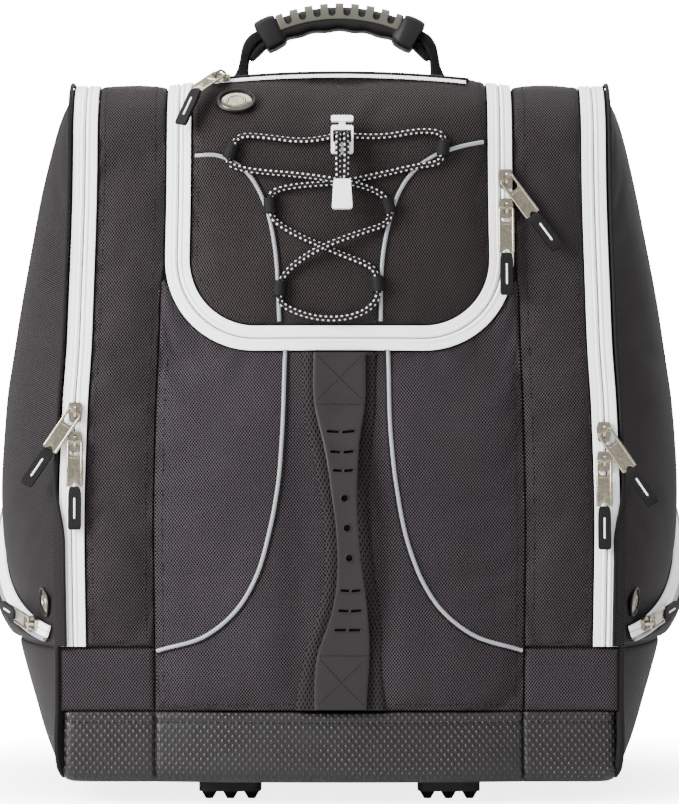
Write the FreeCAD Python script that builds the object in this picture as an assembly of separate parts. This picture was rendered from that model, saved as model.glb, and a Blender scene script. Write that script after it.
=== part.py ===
"""Ski boot bag: a wedge-shaped soft backpack with a boot compartment on each side.

Millimetres, +Z up, the front faces -Y, and the origin is the middle of the box's floor face.
A ribbon of panels runs up the leaning front, over the top and down the back. A bulging
door closes each side. Pieces of the ribbon are bands between two offsets of one surface:
offset 0 is the outside of the fabric, and positive offsets stand proud of it.
"""

import FreeCAD, Part

import math
import os

from FreeCAD import Placement, Rotation, Vector

# Heights
Z_FEET = 12.0  # underside of the bag, carried on rubber feet
Z_BAND = 55.0  # top edge of the coated base band
Z_HINGE = 94.0  # lower ends of the boot zippers, where the doors fold
Z_TOP = 440.0  # top face at its sides

# Side profile of the ribbon
LEAN = math.radians(4.9)
Y_FRONT = -172.0  # front face at the top edge of the base band
Y_BACK = 156.0
Y_LID_HINGE = 28.0
R_FRONT, R_BACK = 40.0, 30.0

# Widths, measured from the middle
X_SEAM = 112.0
X_BOOT_ZIP = 161.6
X_CORNER = 171.0
X_LID_ZIP = 102.0
X_DIVIDER = 108.0

SKIN = 4.0  # a padded fabric panel
CROWN = 8.0  # how far the middle of the front stands out
GAP = 0.5  # clear space between neighbouring pieces
TAPE = 7.2  # width of one half of a zipper tape
TAPE_IN, TAPE_OUT = -1.2, 0.8  # offsets of a tape's two faces
LID_LOW = 282.0  # height of the lid zipper's lowest run
LID_CORNER = 50.0  # radius of that zipper's corners

# How far a side stands out past the corner seam, at each height
SIDE_BULGE = [
    (12.5, 7.0), (30.0, 15.0), (60.0, 27.0), (93.5, 36.0), (150.0, 42.0), (200.0, 43.5),
    (277.0, 40.0), (340.0, 32.0), (400.0, 18.5), (417.0, 13.0), (430.0, 8.0),
]
POCKET_DEPTH = 9.5
POCKET_CLEAR = 1.8

# Zipper sliders, pulls and their webbing tails
SLIDER_LONG, SLIDER_WIDE, SLIDER_THICK = 12.0, 9.0, 2.2
BAIL_OUT, BAIL_IN, BAIL_HALF = 4.2, 2.9, 0.75
PULL_LONG, PULL_WIDE, PULL_THICK = 28.0, 9.8, 1.4
TAIL_LONG, TAIL_WIDE, TAIL_THICK = 26.0, 8.0, 3.0
SLIDER_LIFT = 0.4
PULL_LIFT = SLIDER_LIFT + SLIDER_THICK + 0.7

CORD_R = 1.8
FAR = 900.0

CROWN_R = (X_SEAM**2 + CROWN**2) / (2 * CROWN)
FRONT_UP = Vector(0, math.sin(LEAN), math.cos(LEAN))
FRONT_OUT = Vector(0, -math.cos(LEAN), math.sin(LEAN))
X_AXIS, Y_AXIS, Z_AXIS = Vector(1, 0, 0), Vector(0, 1, 0), Vector(0, 0, 1)


def front_y(z):
    """The front face's place at a height, between the base band and the top rounding."""
    return Y_FRONT + (z - Z_BAND) * math.tan(LEAN)


ROUND_Z = Z_TOP - R_FRONT
ROUND_Y = front_y(ROUND_Z) + R_FRONT / math.cos(LEAN)
ROUND = Vector(0, ROUND_Y, ROUND_Z)  # centre of the top front rounding
BAND_POINT = Vector(0, Y_FRONT, Z_BAND)
FRONT_RUN = (ROUND + FRONT_OUT * R_FRONT - BAND_POINT).Length
ROUND_DEG = 90 - math.degrees(LEAN)
BACK_ROUND = Vector(0, Y_BACK - R_BACK, Z_TOP - R_BACK)


def export(name, shape):
    os.makedirs("parts", exist_ok=True)
    solids = shape.Solids
    kept = solids[0] if len(solids) == 1 else Part.makeCompound(solids)
    if not solids or not kept.isValid():
        print("BAD", name, len(solids))
    kept.exportStep("parts/" + name + ".step")


def box(x0, x1, y0, y1, z0, z1):
    return Part.makeBox(x1 - x0, y1 - y0, z1 - z0, Vector(x0, y0, z0))


def mirrored(shape):
    return shape.mirror(Vector(0, 0, 0), X_AXIS)


def loop_face(edges):
    return Part.Face(Part.Wire(edges))


def arc(a, b, c):
    return Part.Arc(a, b, c).toShape()


def line(a, b):
    return Part.makeLine(a, b)


def polygon_prism(points, direction):
    """The closed polygon through the points, pushed along a direction."""
    return Part.Face(Part.makePolygon(points + [points[0]])).extrude(direction)


# ---- The ribbon -------------------------------------------------------------------------


def profile_edges(d, z_front, z_back):
    """The ribbon's side profile at an offset: front, rounding, top, rounding, back."""
    half_turn = math.radians(ROUND_DEG / 2)
    middle = Vector(0, -math.cos(LEAN + half_turn), math.sin(LEAN + half_turn))
    at_45 = Vector(0, math.sqrt(0.5), math.sqrt(0.5))
    start = Vector(0, front_y(z_front), z_front) + FRONT_OUT * d
    bend_in = ROUND + FRONT_OUT * (R_FRONT + d)
    bend_out = ROUND + Z_AXIS * (R_FRONT + d)
    back_in = BACK_ROUND + Z_AXIS * (R_BACK + d)
    back_out = BACK_ROUND + Y_AXIS * (R_BACK + d)
    end = Vector(0, Y_BACK + d, z_back)
    edges = [
        line(start, bend_in),
        arc(bend_in, ROUND + middle * (R_FRONT + d), bend_out),
        line(bend_out, back_in),
        arc(back_in, BACK_ROUND + at_45 * (R_BACK + d), back_out),
        line(back_out, end),
    ]
    return edges, start, end


def flat_band(d_in, d_out, x0, x1, z_front=Z_HINGE + GAP, z_back=Z_HINGE + GAP):
    """A strip of the ribbon from the front, over the top and down the back, with no crown."""
    outer, start_out, end_out = profile_edges(d_out, z_front, z_back)
    inner, start_in, end_in = profile_edges(d_in, z_front, z_back)
    ends = [line(end_out, end_in), line(start_in, start_out)]
    face = Part.Face(Part.Wire(Part.sortEdges(outer + inner + ends)[0]))
    solid = face.extrude(X_AXIS * (x1 - x0))
    solid.translate(X_AXIS * x0)
    return solid


def crown(x):
    """How far the crowned middle stands out of the flat ribbon."""
    if abs(x) >= X_SEAM:
        return 0.0
    return math.sqrt(CROWN_R**2 - x**2) - (CROWN_R - CROWN)


def on_front(x, z, d=0.0):
    """A point of the front face, at an offset from the crowned surface."""
    return Vector(x, front_y(z), z) + FRONT_OUT * (crown(x) + d)


def crown_face(d_in, d_out, x0, x1):
    """The crowned cross-section at the top edge of the base band."""

    def place(x, d):
        height = math.sqrt((CROWN_R + d) ** 2 - x**2) - (CROWN_R - CROWN)
        return BAND_POINT + X_AXIS * x + FRONT_OUT * height

    middle = (x0 + x1) / 2
    return loop_face([
        arc(place(x0, d_out), place(middle, d_out), place(x1, d_out)),
        line(place(x1, d_out), place(x1, d_in)),
        arc(place(x1, d_in), place(middle, d_in), place(x0, d_in)),
        line(place(x0, d_in), place(x0, d_out)),
    ])


def turned(shape, degrees):
    """A copy of a shape on the front, turned about the top rounding's axis."""
    copy = shape.copy()
    copy.rotate(ROUND, X_AXIS, -degrees)
    return copy


def crown_band(d_in, d_out, x0=-X_SEAM, x1=X_SEAM):
    """The crowned middle of the ribbon, from the front over the top and down the back."""
    face = crown_face(d_in, d_out, x0, x1)
    front = face.extrude(FRONT_UP * FRONT_RUN)
    face.translate(FRONT_UP * FRONT_RUN)
    bend = face.revolve(ROUND, X_AXIS, -ROUND_DEG)
    face = turned(face, ROUND_DEG)
    top_run = Y_AXIS * (BACK_ROUND.y - ROUND_Y)
    top = face.extrude(top_run)
    face.translate(top_run)
    back_bend = face.revolve(BACK_ROUND, X_AXIS, -90)
    face.rotate(BACK_ROUND, X_AXIS, -90)
    back = face.extrude(-Z_AXIS * (BACK_ROUND.z - Z_BAND))
    return front.fuse([bend, top, back_bend, back]).removeSplitter()


def lid_cutter(half, z_low, radius, y_end):
    """Everything inside a U outline with rounded lower corners, seen from the front."""
    slant = radius * (1 - math.sqrt(0.5))
    low_left, low_right = Vector(-half, -FAR, z_low), Vector(half, -FAR, z_low)
    up, right = Z_AXIS, X_AXIS
    top_left, top_right = low_left + up * FAR, low_right + up * FAR
    corner_left = low_left + (up + right) * slant
    corner_right = low_right + (up - right) * slant
    face = loop_face([
        line(top_left, low_left + up * radius),
        arc(low_left + up * radius, corner_left, low_left + right * radius),
        line(low_left + right * radius, low_right - right * radius),
        arc(low_right - right * radius, corner_right, low_right + up * radius),
        line(low_right + up * radius, top_right),
        line(top_right, top_left),
    ])
    return face.extrude(Y_AXIS * (FAR + y_end))


def lid_outline(step, y_end=Y_LID_HINGE - GAP):
    """The lid zipper's U, grown by a step past its middle line."""
    return lid_cutter(X_LID_ZIP + step, LID_LOW - step, LID_CORNER + step, y_end)


# ---- The sides --------------------------------------------------------------------------


def profile_range(z):
    """The front and back ends of the side at a height, along the ribbon's profile."""
    y_front, y_back = front_y(z), Y_BACK
    if z > ROUND_Z + R_FRONT * math.sin(LEAN):
        y_front = ROUND_Y - math.sqrt(R_FRONT**2 - (z - ROUND_Z) ** 2)
    if z > Z_TOP - R_BACK:
        y_back = BACK_ROUND.y + math.sqrt(R_BACK**2 - (z - BACK_ROUND.z) ** 2)
    return y_front, y_back


def side_x(y, z, bulge):
    """The side's distance from the middle: one arc from corner to corner."""
    y_front, y_back = profile_range(z)
    half = (y_back - y_front) / 2
    radius = (half**2 + bulge**2) / (2 * bulge)
    off_middle = y - (y_front + y_back) / 2
    return X_CORNER + math.sqrt(radius**2 - off_middle**2) - (radius - bulge)


def side_arc(z, bulge, inset, extra_end, extra_middle):
    """Three points of the side at a height, pushed out by an extra at its ends and middle."""
    y_front, y_back = profile_range(z)
    y_middle = (y_front + y_back) / 2
    ends = (y_front + inset, y_back - inset)
    return [
        Vector(side_x(ends[0], z, bulge) + extra_end, ends[0], z),
        Vector(side_x(y_middle, z, bulge) + extra_middle, y_middle, z),
        Vector(side_x(ends[1], z, bulge) + extra_end, ends[1], z),
    ]


def ring(outer, inner):
    return Part.Wire([
        arc(*outer),
        line(outer[2], inner[2]),
        arc(*reversed(inner)),
        line(inner[0], outer[0]),
    ])


def side_shell(heights):
    """A bulging wall of the right side, through the listed heights."""
    rings = []
    for z, bulge in heights:
        outer = side_arc(z, bulge, 0, 0, 0)
        inner = [
            outer[0] + Y_AXIS * SKIN,
            outer[1] - X_AXIS * SKIN,
            outer[2] - Y_AXIS * SKIN,
        ]
        rings.append(ring(outer, inner))
    return Part.makeLoft(rings, True, False)


def side_top():
    """The solid rim that closes a door's upper end."""
    wires = []
    for z, bulge in (SIDE_BULGE[-1], (Z_TOP, 3.0)):
        outer = side_arc(z, bulge, 0, 0, 0)
        wires.append(Part.Wire([arc(*outer), line(outer[2], outer[0])]))
    return Part.makeLoft(wires, True, True)


POCKET_FRONT, POCKET_SAG, POCKET_BACK = (-158.0, 98.0), (-4.0, 150.0), (110.0, 250.0)


def pocket_region(step_low, step_high):
    """The side's space between two lines that follow the pocket zipper's arc."""

    def shifted(point, step):
        return Vector(0, point[0] - 0.5 * step, point[1] + 0.86 * step)

    low = [shifted(p, step_low) for p in (POCKET_FRONT, POCKET_SAG, POCKET_BACK)]
    high = [shifted(p, step_high) for p in (POCKET_FRONT, POCKET_SAG, POCKET_BACK)]
    face = loop_face([
        arc(*high),
        line(high[2], low[2]),
        arc(*reversed(low)),
        line(low[0], high[0]),
    ])
    return face.extrude(X_AXIS * FAR)


# ---- Zipper hardware --------------------------------------------------------------------


def slider_shape(bail_turn):
    """A slider on its tape: across is X, out of the tape is Y, along the tape is Z."""
    half_long, half_wide = SLIDER_LONG / 2, SLIDER_WIDE / 2
    waist = half_wide * 0.78
    base = SLIDER_LIFT
    outline = [(-waist, -half_long), (waist, -half_long), (half_wide, 2.0),
               (half_wide * 0.8, half_long), (-half_wide * 0.8, half_long), (-half_wide, 2.0)]
    plate = polygon_prism([Vector(x, base, z) for x, z in outline], Y_AXIS * SLIDER_THICK)
    plate = plate.makeFillet(1.2, upright_edges(plate))
    top = base + SLIDER_THICK
    centre = Vector(-BAIL_HALF, top, 0)
    bail = Part.makeCylinder(BAIL_OUT, 2 * BAIL_HALF, centre, X_AXIS)
    bail = bail.cut(Part.makeCylinder(BAIL_IN, 2 * BAIL_HALF, centre, X_AXIS))
    bail = bail.common(box(-5, 5, top - 0.6, top + 9, -9, 9))
    bail.rotate(Vector(0, 0, 0), Y_AXIS, bail_turn)
    return plate.fuse(bail).removeSplitter()


def pull_shape(tail_bend):
    """A stamped pull hanging down from its pivot, and the webbing tail below it."""
    half = PULL_WIDE / 2
    low, high = -PULL_THICK / 2, PULL_THICK / 2
    plate = box(-half, half, low, high, -PULL_LONG, 1.0)
    plate = plate.makeFillet(2.2, upright_edges(plate))
    window = box(-3.8, 3.8, low - 1, high + 1, -8.6, -1.0)
    plate = plate.cut(window.makeFillet(0.8, upright_edges(window)))
    plate = plate.cut(Part.makeCylinder(1.7, 6, Vector(0, -3, -PULL_LONG + 5.0), Y_AXIS))
    tip = -PULL_LONG
    notch = [Vector(-2.4, -3, tip - 1), Vector(2.4, -3, tip - 1), Vector(0, -3, tip + 2.6)]
    plate = plate.cut(polygon_prism(notch, Y_AXIS * 6))
    tail = box(-TAIL_WIDE / 2, TAIL_WIDE / 2, -TAIL_THICK / 2, TAIL_THICK / 2, -TAIL_LONG, -0.8)
    tail = tail.makeFillet(1.0, upright_edges(tail))
    tail.rotate(Vector(0, 0, 0), X_AXIS, tail_bend)
    tail.translate(Z_AXIS * tip)
    return Part.makeCompound([plate, tail])


def upright_edges(solid):
    return [e for e in solid.Edges if abs(e.tangentAt(e.FirstParameter).y) > 0.9]


def seat(origin, along, out):
    """The placement that puts a slider's own frame on a tape."""
    along, out = Vector(*along).normalize(), Vector(*out).normalize()
    return Placement(Vector(*origin), Rotation(out.cross(along), out, along))


def slider_at(where, bail_turn):
    shape = slider_shape(bail_turn)
    shape.Placement = where
    return shape


def pull_at(where, swing_deg, tip_deg=0.0, tail_bend=0.0):
    """A pull on its slider, swung sideways and tipped out of the surface."""
    shape = pull_shape(tail_bend)
    swing = Rotation(Y_AXIS, swing_deg)
    tip = Rotation(X_AXIS, tip_deg)
    lift = Placement(Vector(0, PULL_LIFT + PULL_THICK / 2, 0), swing.multiply(tip))
    shape.Placement = where.multiply(lift)
    return shape


# ---- Cord -------------------------------------------------------------------------------


def cord_path(points):
    """Straight runs between the points, joined by arcs as large as their two runs allow."""
    edges, at, radii = [], points[0], []
    for before, here, after in zip(points, points[1:], points[2:]):
        back, on = before - here, after - here
        run = min(back.Length, on.Length)
        back, on = back.normalize(), on.normalize()
        turn = math.pi - back.getAngle(on)
        reach = 0.45 * run
        radius = reach / math.tan(turn / 2)
        radii.append(radius)
        first, last = here + back * reach, here + on * reach
        inward = (back + on).normalize()
        middle = here + inward * (radius / math.cos(turn / 2) - radius)
        edges += [line(at, first), arc(first, middle, last)]
        at = last
    edges.append(line(at, points[-1]))
    return Part.Wire(edges), min(radii)


def tube(points, radius):
    path, tightest = cord_path(points)
    start = (points[1] - points[0]).normalize()
    ring_wire = Part.Wire(Part.makeCircle(radius, points[0], start))
    solid = path.makePipeShell([ring_wire], True, False)
    drift = solid.Volume / (math.pi * radius**2 * path.Length)
    print("cord", round(path.Length, 1), "tightest", round(tightest, 1), "volume", round(drift, 3))
    return solid


# ---- Where things sit -------------------------------------------------------------------

LID_FACE_STEP = -TAPE - 0.9  # the lid panel's edge, inside the lid zipper
FRAME_STEP = TAPE + 0.9
POCKET_ZIP_TILT = 22.0  # the lid pocket's zipper, in degrees in front of the top
POCKET_ZIP_HALF = 81.0

# Reflective piping on the lid and below it: across and height
LID_PIPING_LEFT = [
    (-91.0, 394.6), (-77.0, 394.2), (-66.0, 389.5), (-57.0, 382.0), (-49.5, 370.0),
    (-44.5, 357.0), (-40.5, 338.0), (-38.3, 316.0), (-37.4, 292.5),
]
LID_PIPING_RIGHT = [
    (91.0, 403.0), (74.0, 399.0), (59.5, 393.5), (46.5, 384.0), (37.0, 370.0),
    (31.5, 354.0), (27.5, 335.0), (25.8, 314.0), (25.6, 292.5),
]
LOW_PIPING_LEFT = [
    (-34.5, 271.0), (-36.5, 228.0), (-43.0, 185.0), (-53.0, 148.0), (-72.0, 113.0), (-111.0, 92.0),
]
LOW_PIPING_RIGHT = [
    (27.0, 271.0), (28.5, 228.0), (36.0, 185.0), (49.0, 148.0), (75.0, 112.0), (111.0, 92.0),
]
PIPING_R, PIPING_CLEAR = 1.2, 0.8

# Cord loops on the lid: across, height and the tunnel's tilt from upright in degrees
LOOPS = [
    (-66.7, 396.3, -20.0), (-42.5, 362.8, 4.0), (-36.5, 311.8, -4.0),
    (63.8, 398.3, -6.0), (30.0, 362.4, 16.0), (23.5, 314.5, 7.0),
]
LOOP_LONG, LOOP_CLEAR, LOOP_WALL = 9.0, 1.0, 1.2

# Cord lock and cord end, centred on the two strands that run through them
LOCK_X, LOCK_HALF = 1.6, 6.8
LOCK_LOW, LOCK_HIGH = 393.6, 410.8
LOCK_D0, LOCK_D1 = 7.8, 13.8
CORD_SLOT = 405.5
LOCK_TRAVEL = 2.0
SLOT_HALF, SLOT_BELOW, SLOT_ABOVE = 5.6, 5.2, 2.5  # the opening around the two strands
END_HIGH, END_LOW = 377.0, 359.0
END_D0, END_D1 = 12.9, 19.3

# Offsets of the lacing: lying on the lid, crossing over itself, in front of the lock
LOW_D, OVER_D, FRONT_D = 5.4, 10.4, 16.1

# The lacing's route from the cord end, through the lock, down the criss-cross from the left
# and back up it from the right: across, height and offset
LACING = [
    (-0.7, 377.5, FRONT_D), (-1.2, 392.0, FRONT_D + 0.4), (-0.7, CORD_SLOT, FRONT_D),
    (-0.7, CORD_SLOT, LOW_D), (-22.0, 401.5, LOW_D), (-46.0, 405.0, LOW_D),
    (-59.5, 406.0, LOW_D), (-64.5, 402.4, LOW_D),
    (-68.9, 390.2, LOW_D), (-64.6, 386.6, LOW_D), (-50.0, 383.6, LOW_D + 0.6),
    (-24.0, 381.2, LOW_D + 2.4), (1.1, 377.2, OVER_D), (16.0, 374.2, LOW_D + 1.4),
    (28.2, 368.6, LOW_D),
    (31.8, 356.2, LOW_D), (27.6, 350.4, LOW_D), (15.0, 346.4, LOW_D + 1.6),
    (-9.4, 337.4, OVER_D), (-24.0, 329.4, LOW_D + 1.4), (-36.0, 318.3, LOW_D),
    (-37.0, 305.3, LOW_D), (-33.6, 300.6, LOW_D), (-20.0, 295.0, LOW_D),
    (-6.0, 292.9, LOW_D), (9.0, 294.6, LOW_D), (19.5, 300.2, LOW_D), (24.3, 308.0, LOW_D),
    (22.7, 321.0, LOW_D), (18.2, 326.0, LOW_D), (3.0, 331.8, LOW_D), (-9.4, 337.0, LOW_D),
    (-27.0, 344.8, LOW_D), (-37.5, 351.4, LOW_D), (-42.0, 356.3, LOW_D),
    (-43.0, 369.3, LOW_D), (-37.6, 372.9, LOW_D), (-22.0, 375.4, LOW_D),
    (1.1, 376.6, LOW_D), (26.0, 381.8, LOW_D), (48.0, 387.2, LOW_D), (58.6, 388.4, LOW_D),
    (63.1, 391.8, LOW_D),
    (64.5, 404.8, LOW_D), (59.8, 408.4, LOW_D), (47.0, 408.6, LOW_D), (27.0, 404.6, LOW_D),
    (3.9, CORD_SLOT, LOW_D), (3.9, CORD_SLOT, FRONT_D), (4.4, 392.0, FRONT_D + 0.4),
    (3.9, 377.5, FRONT_D),
]

# Top handle
Y_HANDLE = 62.0
FOOT_X = 69.0
PIVOT_Z = 452.5
GRIP_HALF = 54.0
GRIP_Z = 496.5  # middle of the grip
GRIP_R = 106.5
GRIP_TALL, GRIP_DEEP = 19.0, 31.0
INLAY_DEG = 21.5  # half the angle that the grip's inlay spans
WEB_THICK, WEB_WIDE = 4.0, 24.0
LEG_FOOT_HALF = 5.0  # half the width of a leg seen from the front, at its roll
LEG_TAPER = 15.0  # height over which a leg narrows to its roll, seen from the side
ROLL_R, ROLL_LONG = 3.2, 13.0  # the folded roll at a leg's foot
PATCH_HALF_X, PATCH_HALF_Y = 14.0, 16.0  # half sizes of the sewn patch under a leg


# ---- The bag's own shell ----------------------------------------------------------------


def base_outline(z, inset):
    """The base tub's outline at a height: straight sides, crowned front and back."""
    y_front, y_back = front_y(z) + inset, Y_BACK - inset
    side = X_CORNER - 1.0 - inset
    front = [Vector(x, y_front, z) for x in (-side, -X_SEAM, X_SEAM, side)]
    back = [Vector(x, y_back, z) for x in (side, X_SEAM, -X_SEAM, -side)]
    return Part.Wire([
        line(front[0], front[1]),
        arc(front[1], Vector(0, y_front - CROWN, z), front[2]),
        line(front[2], front[3]),
        line(front[3], back[0]),
        line(back[0], back[1]),
        arc(back[1], Vector(0, y_back + CROWN, z), back[2]),
        line(back[2], back[3]),
        line(back[3], front[0]),
    ])


def base_tub():
    outer = Part.makeLoft([base_outline(Z_FEET, 0), base_outline(Z_BAND, 0)], True, True)
    inner = Part.makeLoft(
        [base_outline(Z_FEET + SKIN, SKIN), base_outline(Z_BAND + 1, SKIN)], True, True)
    under = [e for e in outer.Edges if all(abs(v.Z - Z_FEET) < 0.01 for v in e.Vertexes)]
    return outer.makeFillet(5.0, under).cut(inner)


FEET_X, FEET_Y = (-67.0, 67.0), (-145.0, 120.0)
FOOT_HALF_X, FOOT_HALF_Y, FOOT_LOW = 19.0, 16.0, 5.5
STUD_STEP = 13.0


def rubber_feet():
    """Four feet under the base, each with three blunt studs."""
    feet = []
    for x in FEET_X:
        for y in FEET_Y:
            foot = box(x - FOOT_HALF_X, x + FOOT_HALF_X, y - FOOT_HALF_Y, y + FOOT_HALF_Y,
                       FOOT_LOW, Z_FEET - GAP)
            upright = [e for e in foot.Edges if abs(e.tangentAt(e.FirstParameter).z) > 0.9]
            foot = foot.makeFillet(6.0, upright)
            studs = [Part.makeCone(2.2, 5.5, FOOT_LOW + 0.1, Vector(x + step, y, 0))
                     for step in (-STUD_STEP, 0, STUD_STEP)]
            feet.append(foot.fuse(studs).removeSplitter())
    return Part.makeCompound(feet)


def divider(x):
    """The wall between the middle and one boot compartment, cut to the side profile."""
    edges, start, end = profile_edges(-SKIN - 1.8, Z_BAND, Z_BAND)
    low = Z_FEET + SKIN + 4.5
    low_front = Vector(0, start.y, low)
    low_back = Vector(0, end.y, low)
    edges += [line(end, low_back), line(low_back, low_front), line(low_front, start)]
    solid = Part.Face(Part.Wire(Part.sortEdges(edges)[0])).extrude(X_AXIS * 3.0)
    solid.translate(X_AXIS * (x - 1.5))
    return solid


def both(shape):
    return Part.makeCompound([shape, mirrored(shape)])


def front_only(shape, z0, z1):
    return shape.common(box(-FAR, FAR, -FAR, 0, z0, z1))


def lower_corner_panels():
    """The short panels between the base band and the boot zippers, front and back."""
    strip = flat_band(-SKIN, 0, X_SEAM + GAP, X_CORNER - 1, Z_BAND - 5, Z_BAND - 5)
    return both(strip.common(box(-FAR, FAR, -FAR, FAR, Z_BAND + GAP, Z_HINGE - GAP)))


def centre_panel():
    panel = front_only(crown_band(-SKIN, 0), Z_BAND + GAP, LID_LOW + 36)
    return panel.cut(lid_outline(FRAME_STEP))


def top_panel():
    region = box(-FAR, FAR, Y_LID_HINGE + GAP, BACK_ROUND.y - GAP, ROUND_Z, FAR)
    return crown_band(-SKIN, 0).common(region)


def back_panel():
    region = box(-FAR, FAR, BACK_ROUND.y, FAR, Z_BAND + GAP, FAR)
    return crown_band(-SKIN, 0).common(region)


PAD_FACE = Y_BACK + CROWN + 1.0
PAD_THICK, STRAP_PAD_THICK = 12.0, 11.0
STRAP_FACE = PAD_FACE + PAD_THICK + 1.0  # the shoulder straps lie over the pads
# Pads on the back: across from, across to, lowest and highest
COLUMN_PAD = (14, 84, 150, 385)
LUMBAR_PAD, YOKE_PAD = (-56, 56, 68, 140), (-98, 98, 390, 408)


def back_pads():
    """Two padded columns, a lumbar pad and the straps' yoke on the back."""
    face_y = PAD_FACE
    x0, x1, z0, z1 = COLUMN_PAD
    pads = []
    for x0, x1, z0, z1 in (COLUMN_PAD, (-x1, -x0, z0, z1), LUMBAR_PAD, YOKE_PAD):
        pad = box(x0, x1, face_y, face_y + PAD_THICK, z0, z1)
        pads.append(pad.makeFillet(5.0, [e for e in pad.Edges if e.CenterOfMass.y > face_y + 1]))
    return Part.makeCompound(pads)


def shoulder_straps():
    """Padded straps lying over the back pads, from the yoke down to the webbing."""
    inner = [Vector(x, STRAP_FACE, z) for x, z in ((26, 400), (36, 300), (44, 168))]
    outer = [Vector(x, STRAP_FACE, z) for x, z in ((100, 168), (98, 300), (82, 400))]
    face = loop_face([
        arc(*inner),
        line(inner[2], outer[0]),
        arc(*outer),
        line(outer[2], inner[0]),
    ])
    strap = face.extrude(Y_AXIS * STRAP_PAD_THICK)
    outside = [e for e in strap.Edges if e.CenterOfMass.y > STRAP_FACE + STRAP_PAD_THICK - 1]
    strap = strap.makeFillet(4.0, outside)
    return both(strap)


def strap_webbing():
    """The straps' lower webbing, from the ladder locks down to the base corners."""
    slope = 0.238  # how fast it comes away from the back on its way up

    def place(x, z):
        return Vector(x, Y_BACK + 2.2 + (z - 62.0) * slope, z)

    outline = [place(61, 148), place(86, 148), place(141, 66), place(119, 60)]
    return both(polygon_prism(outline, Y_AXIS * 1.6))


def ladder_locks():
    """Plastic buckles joining each padded strap to its webbing."""
    frame = box(56, 91, STRAP_FACE, STRAP_FACE + 6, 149, 167)
    for z in (153.0, 159.5):
        frame = frame.cut(box(60, 87, STRAP_FACE - 1, STRAP_FACE + 7, z, z + 3.5))
    return both(frame)


# ---- The front --------------------------------------------------------------------------


# The carry strap and the mesh behind it: height and half width
STRAP_HALF_WIDTHS = [
    (55.0, 16.0), (90.0, 15.8), (115.0, 10.8), (140.0, 7.6), (165.0, 6.9),
    (190.0, 8.2), (215.0, 10.8), (242.0, 15.8), (275.0, 16.0),
]
MESH_HALF_WIDTHS = [
    (56.0, 27.5), (100.0, 22.0), (140.0, 15.0), (168.0, 14.0), (200.0, 16.5), (240.0, 22.0),
    (271.0, 23.0),
]
STRAP_HOLES = (147, 165, 183)
STRAP_HOLE_R, STRAP_SLOT_HALF = 3.0, 2.2
# Pairs of slots through the strap: height and length of each
STRAP_SLOTS = ((104, 6.6), (115, 5.8), (127, 4.9), (200, 4.9), (211, 5.8), (224, 6.6))


def strap_point(s, d):
    """A point over the middle of the front: a distance up it, and out of its crown."""
    return BAND_POINT + FRONT_UP * s + FRONT_OUT * (CROWN + d)


def outline_prism(half_widths):
    """A prism along Y whose half width changes with height, as a smooth outline."""
    right = [Vector(half, -FAR, z) for z, half in half_widths]
    left = [Vector(-half, -FAR, z) for z, half in reversed(half_widths)]
    sides = []
    for points in (right, left):
        curve = Part.BSplineCurve()
        curve.interpolate(points)
        sides.append(curve.toShape())
    face = loop_face([sides[0], line(right[-1], left[0]), sides[1], line(left[-1], right[0])])
    return face.extrude(Y_AXIS * FAR)


def carry_strap():
    """A moulded strap, flat at its sewn ends and arched in the middle for the fingers."""
    low, arch_low, middle, arch_high, high = 1.0, 34.0, 110.0, 186.0, 218.0
    lift, thick, arch = 3.4, 3.0, 15.0
    outer = lift + thick
    edges = [
        line(strap_point(low, lift), strap_point(arch_low, lift)),
        arc(strap_point(arch_low, lift), strap_point(middle, arch), strap_point(arch_high, lift)),
        line(strap_point(arch_high, lift), strap_point(high, lift)),
        line(strap_point(high, lift), strap_point(high, outer)),
        line(strap_point(high, outer), strap_point(arch_high, outer)),
        arc(strap_point(arch_high, outer), strap_point(middle, arch + thick),
            strap_point(arch_low, outer)),
        line(strap_point(arch_low, outer), strap_point(low, outer)),
        line(strap_point(low, outer), strap_point(low, lift)),
    ]
    slab = loop_face(edges).extrude(X_AXIS * 60)
    slab.translate(X_AXIS * -30)
    strap = slab.common(outline_prism(STRAP_HALF_WIDTHS))
    holes = [Part.makeCylinder(STRAP_HOLE_R, FAR, Vector(0, -FAR, z), Y_AXIS)
             for z in STRAP_HOLES]
    for z, reach in STRAP_SLOTS:
        for x in (-reach / 2 - 0.9, reach / 2 + 0.9):
            low_z, high_z = z - STRAP_SLOT_HALF, z + STRAP_SLOT_HALF
            holes.append(box(x - reach / 2, x + reach / 2, -FAR, 0, low_z, high_z))
    return strap.cut(Part.makeCompound(holes))


def carry_mesh():
    """The spacer mesh pad behind the carry strap."""
    slab = crown_band(0.6, 2.8, -40, 40)
    region = box(-FAR, FAR, -FAR, 0, Z_BAND + GAP, LID_LOW - FRAME_STEP - 0.4)
    return slab.common(outline_prism(MESH_HALF_WIDTHS)).common(region)


def piping(places):
    return tube([on_front(x, z, PIPING_R + PIPING_CLEAR) for x, z in places], PIPING_R)


def lid_piping():
    """The lid's two runs of piping, which stop where the cord loops cover them."""
    runs = [piping(LID_PIPING_LEFT), piping(LID_PIPING_RIGHT)]
    half = CORD_R + LOOP_CLEAR + LOOP_WALL + 0.5
    reach = LOOP_LONG / 2 + 0.5
    covers = [loop_seat(*loop, box(-half, half, -20, 20, -reach, reach)) for loop in LOOPS]
    return Part.makeCompound([run.cut(covers) for run in runs])


def loop_seat(x, z, tilt, shape):
    """Puts a shape at a loop's place, tilted, square to the crowned lid."""
    lean = math.asin(x / CROWN_R)
    out = FRONT_OUT * math.cos(lean) + X_AXIS * math.sin(lean)
    turn = Placement(Vector(0, 0, 0), Rotation(Y_AXIS, tilt))
    shape.Placement = seat(on_front(x, z, LOW_D), FRONT_UP, out).multiply(turn)
    return shape


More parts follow.
